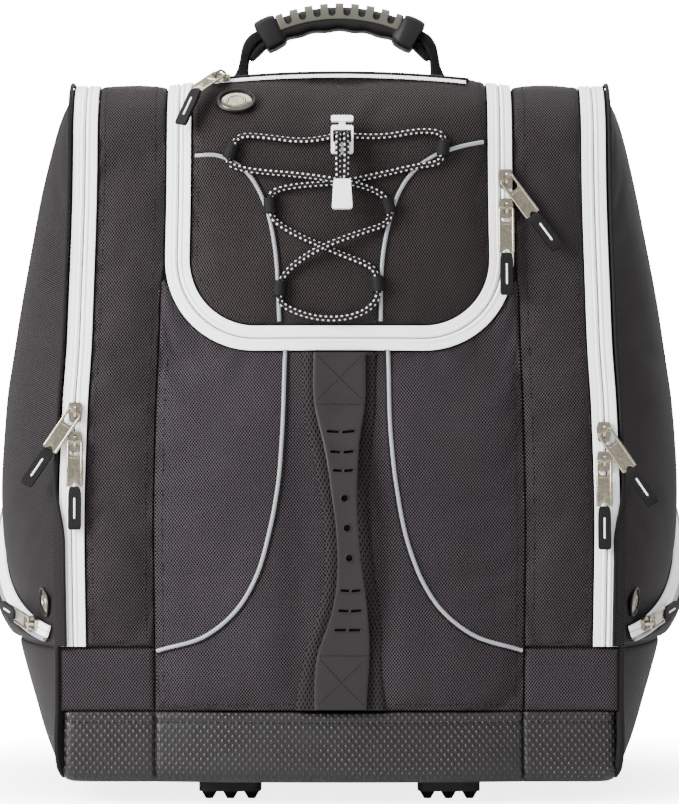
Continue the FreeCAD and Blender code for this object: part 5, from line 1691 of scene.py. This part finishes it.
def cord_loop(x, z, tilt):
    """A webbing tunnel, sewn down along its two feet, open at both ends for the cord."""
    inner, wall = 2.7, 1.2
    turn = np.radians(np.linspace(0, 180, 13))
    top = [(math.cos(a) * (inner + wall), math.sin(a) * (inner + wall)) for a in turn]
    under = [(math.cos(a) * inner, math.sin(a) * inner) for a in turn[::-1]]
    foot = -4.9
    flange = [(6.4, foot), (6.6, foot + 0.7), (6.2, foot + 1.1), (4.5, foot + 1.3),
              (inner + wall, foot + 2.0)]
    outline = flange + top + [(-a, b) for a, b in reversed(flange)]
    outline += [(-inner, foot)] + under + [(inner, foot)]
    outline = np.array(outline) * MM
    lengths = np.array([-4.7, -4.4, -3.0, -1.0, 1.0, 3.0, 4.4, 4.7]) * MM
    grow = np.array([0.86, 0.97, 1, 1, 1, 1, 0.97, 0.86])
    centre = np.array((0, -0.4 * MM))
    rings = []
    for at, size in zip(lengths, grow):
        ring = centre + (outline - centre) * size
        rings.append(np.column_stack([ring[:, 0], ring[:, 1], np.full(len(ring), at)]))
    part = swept(np.array(rings), lengths, run_lengths(outline))
    seat = seat_matrix(on_front(x, z, LOW_D), UP, leaned_out(math.asin(x * MM / CROWN_R)))
    return placed(part, seat @ Matrix.Rotation(math.radians(tilt), 4, "Y"))


loops = joined([cord_loop(*place) for place in LOOPS])
piece("lacing_loops", loops, WEBBING, "lid", ["cord_loops"])


def lid_badge():
    x, s = np.array(-0.0655), np.array(S_ROUND + R_FRONT * math.radians(33))
    normal = surface_normal(ribbon, x, s)
    along = Vector(ribbon(x, s + MM, 0.0) - ribbon(x, s, 0.0))
    place = seat_matrix(ribbon(x, s, 0.0) + normal * 1.2 * MM, along, normal)
    return placed(oval_badge(25 * MM, 19 * MM, 1.8 * MM), place @ Matrix.Rotation(math.radians(-8), 4, "Y"))


piece("lid_badge", lid_badge(), [PEWTER, BUCKLE], "lid")


# ---- Zipper pulls -------------------------------------------------------------------------


def filled_plate(outline, hole, thick):
    """A flat plate with a window and bevelled rims, from two outlines in (across, along)."""
    bm = bmesh.new()
    for points in (outline, hole):
        loop = [bm.verts.new((x, 0, z)) for x, z in points]
        for a, b in zip(loop, loop[1:] + loop[:1]):
            bm.edges.new((a, b))
    bmesh.ops.triangle_fill(bm, use_beauty=True, edges=bm.edges[:])
    bmesh.ops.dissolve_limit(bm, angle_limit=0.01, verts=bm.verts[:], edges=bm.edges[:])
    top = bm.faces[:]
    pushed = bmesh.ops.extrude_face_region(bm, geom=top)
    pushed_verts = [v for v in pushed["geom"] if isinstance(v, bmesh.types.BMVert)]
    bmesh.ops.translate(bm, verts=pushed_verts, vec=(0, thick, 0))
    bmesh.ops.recalc_face_normals(bm, faces=bm.faces[:])
    rims = [e for e in bm.edges if len(e.link_faces) == 2 and e.calc_face_angle(0) > 0.9
            and abs(e.verts[0].co.y - e.verts[1].co.y) < 1e-6]
    bmesh.ops.bevel(bm, geom=rims, offset=0.3 * MM, segments=2, affect="EDGES", profile=0.6)
    points = np.array([v.co[:] for v in bm.verts]) - (0, thick / 2, 0)
    faces = [tuple(v.index for v in f.verts) for f in bm.faces]
    bm.free()
    return points, faces, points[:, [0, 2]], [0] * len(faces)


def rounded_box_outline(x0, x1, z0, z1, radius, steps=4):
    """A rectangle's outline with round corners."""
    points = []
    for cx, cz, start in ((x1 - radius, z1 - radius, 0), (x0 + radius, z1 - radius, 90),
                          (x0 + radius, z0 + radius, 180), (x1 - radius, z0 + radius, 270)):
        for k in range(steps + 1):
            a = math.radians(start + 90 * k / steps)
            points.append((cx + radius * math.cos(a), cz + radius * math.sin(a)))
    return points


def capsule(a, b, radius):
    """A rod with rounded ends."""
    a, b = np.array(a, float), np.array(b, float)
    along = (b - a) / np.linalg.norm(b - a)
    first = np.cross(along, (0.2, 0.9, 0.1))
    first /= np.linalg.norm(first)
    second = np.cross(along, first)
    turn = full_turn(10)
    rings = []
    for base, ends in ((a, (-1.0, -0.8, -0.4)), (a, (0.0,)), (b, (0.0,)), (b, (0.4, 0.8, 1.0))):
        for share in ends:
            fat = radius * math.sqrt(max(1 - share**2, 0.01))
            centre = base + along * share * radius
            rings.append(centre + fat * (first * np.cos(turn)[:, None] + second * np.sin(turn)[:, None]))
    return swept(np.array(rings), np.arange(len(rings)) * MM, turn * MM)


PULL_LONG, PULL_WIDE, PULL_THICK = 28.0, 9.8, 1.4
PULL_LIFT = 3.3


def pull_metal():
    """A pull's plate with its window and end notch, and the rods along its edges and across it."""
    half = PULL_WIDE / 2
    outline = rounded_box_outline(-half + 0.5, half - 0.5, -PULL_LONG, 1.0, 1.6)
    notch = [(x, -PULL_LONG + deep) for x, deep in ((-2.6, 0), (-1.5, 1.6), (0, 2.6), (1.5, 1.6), (2.6, 0))]
    outline = outline[:15] + notch + outline[15:]
    window = rounded_box_outline(-3.3, 3.3, -8.6, -1.2, 2.2)
    plate = filled_plate(*([(x * MM, z * MM) for x, z in line] for line in (outline, window)), 0.9 * MM)
    rods = [((way * (half - 0.75), 0.35, -0.8), (way * (half - 0.75), 0.35, -PULL_LONG + 1.0), 0.85)
            for way in (-1, 1)]
    rods += [((-3.6, 0.1, 0.2), (3.6, 0.1, 0.2), 0.8), ((-2.8, 0.45, -10.2), (2.8, 0.45, -10.2), 0.4)]
    return joined([plate] + [capsule([v * MM for v in a], [v * MM for v in b], r * MM) for a, b, r in rods])


def flat_section(*upper):
    """A band's section from its upper half: shares of its half width and thickness."""
    return np.array(upper + tuple((a, -b) for a, b in reversed(upper)))


def pull_tail(bend_deg):
    """The folded webbing tail below a pull, with a plain woven bar on it."""
    levels = np.array([0.4, 0.0, -1.0, -4.0, -9.0, -14.0, -19.0, -23.0, -24.6, -25.6, -26.0])
    half = np.array([1.6, 2.8, 3.4, 3.9, 4.0, 4.0, 4.0, 4.0, 3.9, 3.6, 3.0])
    thick = np.array([0.5, 1.0, 1.35, 1.5, 1.45, 1.35, 1.35, 1.3, 1.2, 0.9, 0.4])
    shape = flat_section((1, 0.55), (0.9, 0.95), (0.5, 1), (0, 0.94), (-0.5, 1), (-0.9, 0.95), (-1, 0.55))
    rings = []
    for z, h, t in zip(levels, half, thick):
        rings.append(np.column_stack([shape[:, 0] * h, shape[:, 1] * t, np.full(len(shape), z)]) * MM)
    around = (shape[:, 0] * 4 + np.sign(shape[:, 1]) * 9) * MM
    web = with_material(swept(np.array(rings), -levels * MM, around), 1)
    bars = []
    for way in (-1, 1):
        line = np.array([(0, way * 1.38, z) for z in np.linspace(-6.5, -19.5, 30)]) * MM
        bars.append(with_material(tube(line, np.array([0.2] + [0.62] * 28 + [0.2]) * MM, 8), 2))
    bend = Matrix.Rotation(math.radians(bend_deg), 4, "X")
    return placed(joined([web] + bars), Matrix.Translation((0, 0, -PULL_LONG * MM)) @ bend)


def front_seat(x, z, tilt_deg=0.0):
    return seat_matrix(on_front(x, z, 1.0), UP, leaned_out(math.radians(tilt_deg)))


def pocket_seat():
    y, z, extra = np.array(-0.140), np.array(0.1075), POCKET_CLEAR + 2.2 * MM
    here = side(y, z, extra)
    run_y, run_z = side(y + MM, z, extra) - here, side(y, z + MM, extra) - here
    along = Vector(run_y * -1.0 + run_z * -0.16).normalized()
    out = Vector(np.cross(run_y, run_z)).normalized()
    if out.x < 0:
        out = -out
    return seat_matrix(here, along, (out - along * out.dot(along)).normalized())


def lid_pocket_seat():
    out = Vector((0, -math.sin(LID_POCKET_TURN), math.cos(LID_POCKET_TURN)))
    x = -74.0 * MM
    centre = Vector((x, ROUND_Y, ROUND_Z)) + out * (R_FRONT + float(crown(x)) + 2.3 * MM)
    return seat_matrix(centre, (1, 0, 0), out)


# Each pull's seat, and how far it is swung aside, tipped and its tail bent, in degrees
PULLS = (
    ("boot_left_upper", front_seat(-161.6, 237.0), -34.0, 0.0, 0.0),
    ("boot_left_lower", front_seat(-161.6, 219.0), 0.0, 0.0, 0.0),
    ("boot_right_upper", front_seat(161.6, 225.0), 34.0, 0.0, 0.0),
    ("boot_right_lower", front_seat(161.6, 207.0), 0.0, 0.0, 0.0),
    ("lid_upper", front_seat(102.0, 380.0, 4.0), 36.0, 4.0, 0.0),
    ("lid_lower", front_seat(102.0, 362.0, 4.0), 0.0, 2.0, 0.0),
    ("lid_pocket", lid_pocket_seat(), 60.0, -5.0, -36.0),
    ("side_pocket_right", pocket_seat(), 0.0, 0.0, 0.0),
    ("side_pocket_left", pocket_seat(), 0.0, 0.0, 0.0),
)
for name, where, swing, tip, bend in PULLS:
    lift = Matrix.Translation((0, (PULL_LIFT + PULL_THICK / 2) * MM, 0))
    turned = Matrix.Rotation(math.radians(swing), 4, "Y") @ Matrix.Rotation(math.radians(tip), 4, "X")
    part = placed(joined([pull_metal(), pull_tail(bend)]), where @ lift @ turned)
    if name == "side_pocket_left":
        part = mirrored(part)
    body = name + "_pull"
    piece("zip_pull_" + name, part, [NICKEL, WEBBING, WHITE_THREAD], body, [body])


# ---- Top handle ---------------------------------------------------------------------------

Y_HANDLE, GRIP_R, FOOT_X = 0.062, 0.1065, 0.069
GRIP_CENTRE_Z = 0.4990 - GRIP_R

# The handle's feet bend between these heights, and overlap its legs between the next two
Z_LEG_FROM, Z_FOOT_TO = 0.4690, 0.4715


def on_grip(turn_deg, rise, y):
    """A point by its angle along the grip, its height over the arc and its depth."""
    turn = math.radians(turn_deg)
    r = GRIP_R + rise
    return (math.sin(turn) * r, Y_HANDLE + y, GRIP_CENTRE_Z + math.cos(turn) * r)


def grip_core():
    """The rubber grip: a collar at each end and two shallow waves under its middle.

    A station is its angle, its lowest and highest rise, half its depth and its corner radius.
    """
    half = [(29.6, -7.6, 6.6, 13.0, 3.0), (29.45, -9.8, 8.6, 14.8, 3.6), (29.0, -11.4, 9.6, 15.8, 3.4),
            (26.6, -11.9, 9.9, 16.2, 3.4), (24.0, -11.6, 9.7, 16.0, 3.4), (22.4, -11.1, 8.8, 15.6, 3.4),
            (22.1, -10.9, 6.4, 15.0, 3.6), (21.6, -10.6, 5.6, 14.6, 4.0)]
    stations = [(-turn, *rest) for turn, *rest in half]
    for turn in np.linspace(-20.6, 20.6, 61):
        groove = 0.9 * math.cos(math.radians(turn / 20.6 * 2.0 * 180)) ** 2
        stations.append((turn, -9.6 + groove, 5.6, 14.5, 4.4))
    stations += half[::-1]
    rings = []
    for turn, low, high, deep, corner in stations:
        section = rounded_box_outline(-deep, deep, low, high, corner, 5)
        rings.append([on_grip(turn, rise * MM, y * MM) for y, rise in section])
    return swept(np.array(rings), [turn / 60 * GRIP_R for turn, *_ in stations])


def grip_saddle():
    """The inlay before its windows are cut: a band over the grip's front, top and back."""
    outer = [(15.0, -2.6), (15.4, -2.2), (15.6, 1.0), (15.4, 4.6), (14.6, 6.8), (12.6, 8.0), (6.0, 8.4)]
    inner = [(13.9, -2.6), (13.9, 3.0), (12.6, 4.2), (6.0, 4.6)]
    outline = outer + [(-y, rise) for y, rise in reversed(outer)]
    outline += [(-y, rise) for y, rise in inner] + list(reversed(inner))
    turns = np.concatenate([[-21.9, -21.6], np.linspace(-21.2, 21.2, 65), [21.6, 21.9]])
    rings = []
    for turn in turns:
        tuck = 0.5 if abs(turn) > 21.7 else (0.15 if abs(turn) > 21.4 else 0.0)
        rings.append([on_grip(turn, (rise - (tuck if rise > 0 else -tuck)) * MM, y * (1 - tuck / 20) * MM)
                      for y, rise in outline])
    return swept(np.array(rings), turns / 60 * GRIP_R)


def grip_windows():
    """Cutters for the eight windows, open over the top of the grip."""
    half, pitch_deg = 2.35, 5.2
    outline = [(half, 16.0), (-half, 16.0), (-half, 2.4)]
    outline += [(half * math.cos(a), 1.9 + half * math.sin(a)) for a in np.radians(np.arange(195, 346, 15))]
    outline += [(half, 2.4)]
    parts = []
    for k in range(8):
        middle = (k - 3.5) * pitch_deg
        rings = [[on_grip(middle + math.degrees(across * MM / GRIP_R), rise * MM, y)
                  for across, rise in outline] for y in (-0.03, 0.03)]
        parts.append(swept(np.array(rings), [0, 1]))
    return joined(parts)


def handle_leg():
    """The webbing from inside the grip's collar down to its foot: what turns, and its foot.

    A station is its distance across, its height, and half its thickness and its width.
    """
    stations = ((48.3, 487.4, 3.0, 10.6), (52.6, 486.0, 3.6, 11.2), (57.0, 483.0, 4.0, 11.6),
                (60.4, 478.4, 3.8, 11.8), (62.4, 472.6, 3.2, 11.6), (63.4, 466.6, 3.0, 10.8),
                (64.4, 460.8, 3.4, 9.8), (65.6, 455.8, 4.6, 9.0), (66.4, 452.2, 6.0, 8.6),
                (66.8, 449.9, 6.8, 8.2))
    cuff = ((46.6, 482.0, 1.4, 10.0), (49.8, 480.0, 2.2, 10.8), (53.0, 477.0, 2.4, 11.0),
            (55.8, 473.6, 2.2, 11.0), (57.9, 471.2, 1.6, 10.8), (59.4, 470.6, 0.9, 10.4))
    shape = flat_section((1, 0.5), (0.94, 0.86), (0.8, 1), (0.3, 0.93), (-0.3, 0.93), (-0.8, 1),
                         (-0.94, 0.86), (-1, 0.5))
    parts = []
    for run in (stations, cuff):
        fine = smooth_line([(x, 0, z) for x, z, *_ in run], 1.6)
        where = np.linspace(0, len(run) - 1, len(fine))
        thick = np.interp(where, range(len(run)), [row[2] for row in run])
        deep = np.interp(where, range(len(run)), [row[3] for row in run])
        along = np.gradient(fine, axis=0)
        along /= np.linalg.norm(along, axis=1, keepdims=True)
        out = np.cross(along, (0, 1, 0))
        rings = [[(c + n * t * b)[k] * MM + (Y_HANDLE + a * d * MM if k == 1 else 0) for k in range(3)]
                 for c, n, t, d in zip(fine, out, thick, deep) for a, b in shape]
        rings = np.array(rings).reshape(len(fine), len(shape), 3)
        around = np.array([a * 12 + 30 * (b < 0) for a, b in shape]) * MM
        along_it = np.arange(len(fine)) * 1.6 * MM
        height = rings[:, 0, 2]
        turns = height > Z_LEG_FROM
        parts.append(swept(rings[turns], along_it[turns], around))
        if not turns.all():
            foot = height < Z_FOOT_TO
            centres = rings[foot].mean(1, keepdims=True)
            snug = centres + (rings[foot] - centres) * 0.985
            lower = swept(snug, along_it[foot], around)
    return joined(parts), lower


leg, leg_foot = handle_leg()
feet = piece("handle_feet", both_sides(leg_foot), WEBBING, None)
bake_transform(feet)
piece("handle_legs", both_sides(leg), WEBBING, "top_handle", ["handle_webbing"])
piece("handle_core", grip_core(), GRIP, "top_handle", ["handle_grip"])
inlay = piece("handle_inlay_ribs", grip_saddle(), INLAY, "top_handle", ["handle_inlay"])
carved(inlay, grip_windows())


def handle_patches():
    """A doubled webbing patch under each foot, sewn round its edge and crosswise."""
    parts, rows = [], []
    for way in (-1, 1):
        x0, x1 = way * FOOT_X - 14 * MM, way * FOOT_X + 14 * MM
        s0, s1 = s_over(Y_HANDLE - 0.016), s_over(Y_HANDLE + 0.016)
        gx, gs = np.meshgrid(*(start + spaced(end - start, 3 * MM, (0, 0.3, 0.8, 1.4))
                               for start, end in ((x0, x1), (s0, s1))))
        near = np.minimum(np.minimum(gx - x0, x1 - gx), np.minimum(gs - s0, s1 - gs))
        points = ribbon(gx, gs, 2.0 * MM + rolled(near, 1.4 * MM, 0.9 * MM))
        parts.append(closed_shell(points, np.stack([gx, gs], -1), 1.6 * MM, inner_material=0))
        x0, x1, s0, s1 = x0 + 2.5 * MM, x1 - 2.5 * MM, s0 + 2.5 * MM, s1 - 2.5 * MM
        corners = ((x0, s0), (x1, s0), (x1, s1), (x0, s1), (x0, s0))
        runs = list(zip(corners, corners[1:])) + [(corners[0], corners[2]), (corners[1], corners[3])]
        for start, end in runs:
            middle = ((start[0] + end[0]) / 2, (start[1] + end[1]) / 2)
            points, normals = ribbon_path([start, middle, end], d=2.1 * MM)
            rows.append(stitches(points, normals, 2.6 * MM, 2.0 * MM, 0.28 * MM))
    return joined(parts + [with_material(joined(rows), 1)])


piece("handle_patches", handle_patches(), [WEBBING, DARK_THREAD], "bag", ["handle_anchors"])


# ---- Back pads, shoulder straps and their webbing -----------------------------------------

PAD_FACE = Y_BACK + CROWN + 1.0 * MM
PAD_THICK, STRAP_THICK = 12.0 * MM, 11.0 * MM
STRAP_FACE = PAD_FACE + PAD_THICK + 1.0 * MM
PAD_EDGE = (0, 0.3, 1.0, 2.4, 4.6)


def stuffed(x0, x1, z, face_y, thick, seed, channels=(), settle=True):
    """A stuffed pad on the back between two edges that change with height.

    channels are sewn lines across it, by height. Its flat side faces the bag.
    """
    width = float(np.max(x1 - x0))
    share = spaced(width, 6 * MM, PAD_EDGE) / width
    x = x0[:, None] + share[None] * (x1 - x0)[:, None]
    gz = np.broadcast_to(z[:, None], x.shape)
    near = np.minimum(np.minimum(x - x0[:, None], x1[:, None] - x), np.minimum(gz - z[0], z[-1] - gz))
    rise = thick * 0.86 + rolled(near, 9 * MM, thick * 0.74)
    for place in channels:
        sewn = np.exp(-(((gz - place) / (2.2 * MM)) ** 2))
        rise = rise - thick * 0.4 * sewn * np.clip(near / (4 * MM), 0, 1)
    points = np.stack([x, face_y + rise, gz], -1)
    if settle:
        open_area = np.clip(near / (12 * MM), 0, 1)
        for place in channels:
            open_area = open_area * (1 - np.exp(-(((gz - place) / (5 * MM)) ** 2)))
        points = settled_grid(points, 3.5, 0.02, 1.6 * MM, relief=open_area)
    points[..., 1] += lumps(points, seed, 0.03, 0.7 * MM) * np.clip(near / (10 * MM), 0, 1)
    points[..., 1] = np.clip(points[..., 1], face_y + 1.2 * MM, face_y + thick + 1.5 * MM)
    under = points.reshape(-1, 3).copy()
    under[:, 1] = face_y + 0.4 * MM
    shell_points, *rest = closed_shell(points, np.stack([x, gz], -1), 1.0 * MM)
    shell_points[len(under):] = under
    return (shell_points, *rest)


def straight_pad(x0, x1, z0, z1, seed, **more):
    z = z0 + spaced(z1 - z0, 6 * MM, PAD_EDGE)
    return stuffed(np.full_like(z, x0), np.full_like(z, x1), z, PAD_FACE, PAD_THICK, seed, **more)


column = straight_pad(0.014, 0.084, 0.150, 0.385, 31, channels=(0.197, 0.244, 0.291, 0.338))
lumbar = straight_pad(-0.056, 0.056, 0.068, 0.140, 32, channels=(0.104,))
back_pads = joined([column, mirrored(column), lumbar])
piece("back_columns", back_pads, [MESH, LINING], "bag", ["back_pads"])
yoke = straight_pad(-0.098, 0.098, 0.390, 0.408, 33, settle=False)
piece("strap_yoke", yoke, [STRAP_PAD, LINING], "bag")


def shoulder_strap():
    """A shoulder strap's pad, between an inner and an outer edge that change with height."""
    z = 0.168 + spaced(0.232, 6 * MM, PAD_EDGE)

    inner, outer = (smooth_table(table)(z) for table in (
        ((168, 44), (300, 36), (400, 26)), ((168, 100), (300, 98), (400, 82))))
    return stuffed(inner, outer, z, STRAP_FACE, STRAP_THICK, 35, channels=(0.215, 0.262, 0.309, 0.356))


shoulder_pads = piece("shoulder_pads", both_sides(shoulder_strap()), [STRAP_PAD, LINING], "bag",
                      ["shoulder_straps"])


WEB_THICK = 1.5 * MM


def strap_band(line, half):
    """A flat webbing band through places, each with the direction of the band's width."""
    points = smooth_line([p for p, _ in line], 4 * MM)
    where = np.linspace(0, len(line) - 1, len(points))
    across = read_at(where, range(len(line)), np.array([way for _, way in line], float))
    across /= np.linalg.norm(across, axis=1, keepdims=True)
    tangent = np.gradient(points, axis=0)
    out = np.cross(across, tangent)
    out /= np.linalg.norm(out, axis=1, keepdims=True)
    shape = flat_section((1, 0.3), (0.96, 1), (0.3, 0.92), (-0.3, 0.92), (-0.96, 1), (-1, 0.3))
    rings = [[p + a * half * w + b * WEB_THICK / 2 * n for a, b in shape]
             for p, w, n in zip(points, across, out)]
    around = [a * half + 2 * half * (b < 0) for a, b in shape]
    return swept(np.array(rings), np.arange(len(points)) * 4 * MM, np.array(around))


def webbing_y(z):
    """How far back the strap's lower webbing runs at a height, from the base to the ladder lock."""
    return Y_BACK + 3.0 * MM + (z - 0.062) * 0.238


X_LOCK, Z_LOCK = 0.0735, 0.150
web_line = []
for share in np.linspace(0, 1, 9):
    x, z = X_LOCK + share * (0.130 - X_LOCK), Z_LOCK - share * (Z_LOCK - 0.064)
    y = webbing_y(z) - 0.6 * MM * math.sin(math.pi * share)
    web_line.append(((x, y, z), (0.84, 0.0, 0.54 - 0.5 * (1 - share))))
tail_line = [((X_LOCK, webbing_y(Z_LOCK) + 1.2 * MM, 0.158), (1, 0, 0)),
             ((0.0725, STRAP_FACE + 5.2 * MM, 0.152), (1, 0, 0)),
             ((0.071, STRAP_FACE + 4.6 * MM, 0.136), (1, 0, 0.02)),
             ((0.069, STRAP_FACE + 1.0 * MM, 0.118), (1, 0, 0.04)),
             ((0.068, STRAP_FACE - 3.4 * MM, 0.102), (1, 0, 0.05))]
top_line = [((x, STRAP_FACE + off * MM, z), (1, 0, 0)) for x, off, z in (
    (X_LOCK, 7.0, 0.164), (0.0733, 9.8, 0.176), (0.0725, 11.6, 0.200), (0.071, 11.2, 0.232),
    (0.069, 11.4, 0.268))]
webs = joined([strap_band(line, half * MM) for line, half in (
    (web_line, 12.2), (tail_line, 12.0), (top_line, 11.0))])
piece("strap_webs", both_sides(webs), WEBBING, "bag", ["strap_webbing"])


# ---- Fabric that folds at the hinges ------------------------------------------------------


def lid_fold():
    """A strip across the top where the lid folds back."""
    half, reach = 0.108, 7
    middle = s_over(Y_LID_HINGE)
    gx, gs = np.meshgrid(-half + spaced(2 * half, 8 * MM), middle + np.linspace(-reach, reach, 15) * MM)
    points = ribbon(gx, gs, -1.9 * MM - 0.4 * MM * np.cos((gs - middle) / MM * math.pi / reach))
    return closed_shell(points, np.stack([gx, gs], -1), 1.2 * MM)


fold = piece("lid_fold", lid_fold(), FABRIC, None)
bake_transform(fold)


def door_fold():
    """A strip along a door's lower seam, where it folds out."""
    reach = 6.5
    z = Z_HINGE + np.linspace(-reach, reach, 14) * MM
    t = (spaced(SIDE_WIDTH, 8 * MM) / SIDE_WIDTH) * 0.97 + 0.015
    gt, gz = np.meshgrid(t, z)
    points = side_share(gt, gz, -1.5 * MM - 0.3 * MM * np.cos((gz - Z_HINGE) / MM * math.pi / reach))
    return closed_shell(points, np.stack([gt * SIDE_WIDTH, gz], -1), 1.2 * MM)


fold_part = door_fold()
for tag, way in (("right", 1), ("left", -1)):
    part = fold_part if way > 0 else mirrored(fold_part)
    fold = piece(f"door_fold_{tag}", part, CLOTH, None)
    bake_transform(fold)


# ---- Inside walls and the materials of the kept CAD parts ---------------------------------


X_DIVIDER = 0.1095


def divider():
    """The stiff wall beside a boot compartment, bound along its edge."""
    clear = 5.9 * MM
    rows = []
    for height in 0.022 + spaced(0.4, 10 * MM):
        front, back = profile_range(np.array(max(height, Z_BAND)))
        if height < Z_BAND:
            front = Y_FRONT + (height - Z_BAND) * math.tan(LEAN)
        y0, y1 = float(front) + clear, float(back) - clear
        z = min(height, Z_TOP - clear - 1 * MM)
        rows.append([(X_DIVIDER, y, z) for y in y0 + np.linspace(0, 1, 34) * (y1 - y0)])
    points = np.array(rows)
    points[..., 0] += lumps(points, 41, 0.05, 1.2 * MM) * rim_fade(points)[..., 0]
    return closed_shell(points, points[..., 1:], 3.0 * MM, inner_material=0)


piece("divider_walls", both_sides(divider()), [LINING], "bag", ["dividers"])

KEPT = {"base_board": BOARD, "rubber_feet": FOOT, "ladder_locks": BUCKLE, "cord_lock": WHITE_PLASTIC,
        "cord_lock_button": WHITE_PLASTIC, "cord_end": WHITE_PLASTIC}
KEPT.update({name + "_slider": NICKEL for name, *_ in PULLS})
for name, material in KEPT.items():
    slots = bpy.data.objects[name].material_slots
    for slot in slots:
        slot.material = material
    if not slots:
        bpy.data.objects[name].data.materials.append(material)


# ---- Seam stitching -----------------------------------------------------------------------


def stitched_line(places, tree):
    points, normals = ribbon_path(np.array(places), 3 * MM, 0.0, tree, 0.05 * MM)
    return stitches(points, normals, 3.1 * MM, 2.3 * MM, 0.3 * MM)


bag_rows = []
gusset_run = np.linspace(boot_low + 3 * MM, boot_high - 3 * MM, 60)
front_run = np.linspace(s_front(0.060), s_front(0.272), 30)
for way in (-1, 1):
    for x in (X_SEAM + 5.5 * MM, X_BOOT_ZIP - STEP_IN - 4.0 * MM):
        bag_rows.append(stitched_line([(way * x, s) for s in gusset_run], GUSSET_TREE))
    bag_rows.append(stitched_line([(way * (X_SEAM - 5.0 * MM), s) for s in front_run], FRONT_TREE))
low_row = [(x, s_front(0.0592)) for x in np.linspace(-0.109, 0.109, 30)]
bag_rows.append(stitched_line(low_row, FRONT_TREE))


def tub_row():
    """The stitched row below the tub's top edge, all the way round."""
    ring = tub_ring(TUB_ROW * MM, 0.0)
    ring = np.concatenate([ring, ring[:1]])
    tangent = np.gradient(ring, axis=0)
    normal = np.cross(tangent, (0, 0, 1))
    normal /= np.linalg.norm(normal, axis=1, keepdims=True)
    line = smooth_line(ring, 2 * MM)
    at = np.linspace(0, len(ring) - 1, len(line))
    normals = read_at(at, range(len(ring)), normal)
    return stitches(snapped(line, normals, TUB_TREE, 0.02 * MM), normals, 3.4 * MM, 2.5 * MM, 0.36 * MM)


bag_rows.append(tub_row())
piece("bag_stitching", joined(bag_rows), DARK_THREAD, "bag")
inner_line = u_path - u_normals * (STEP_IN + 4.0 * MM)
lid_row = stitched_line(inner_line[inner_line[:, 1] < LID_BACK - 4 * MM][::2], LID_TREE)
piece("lid_stitching", lid_row, DARK_THREAD, "lid")
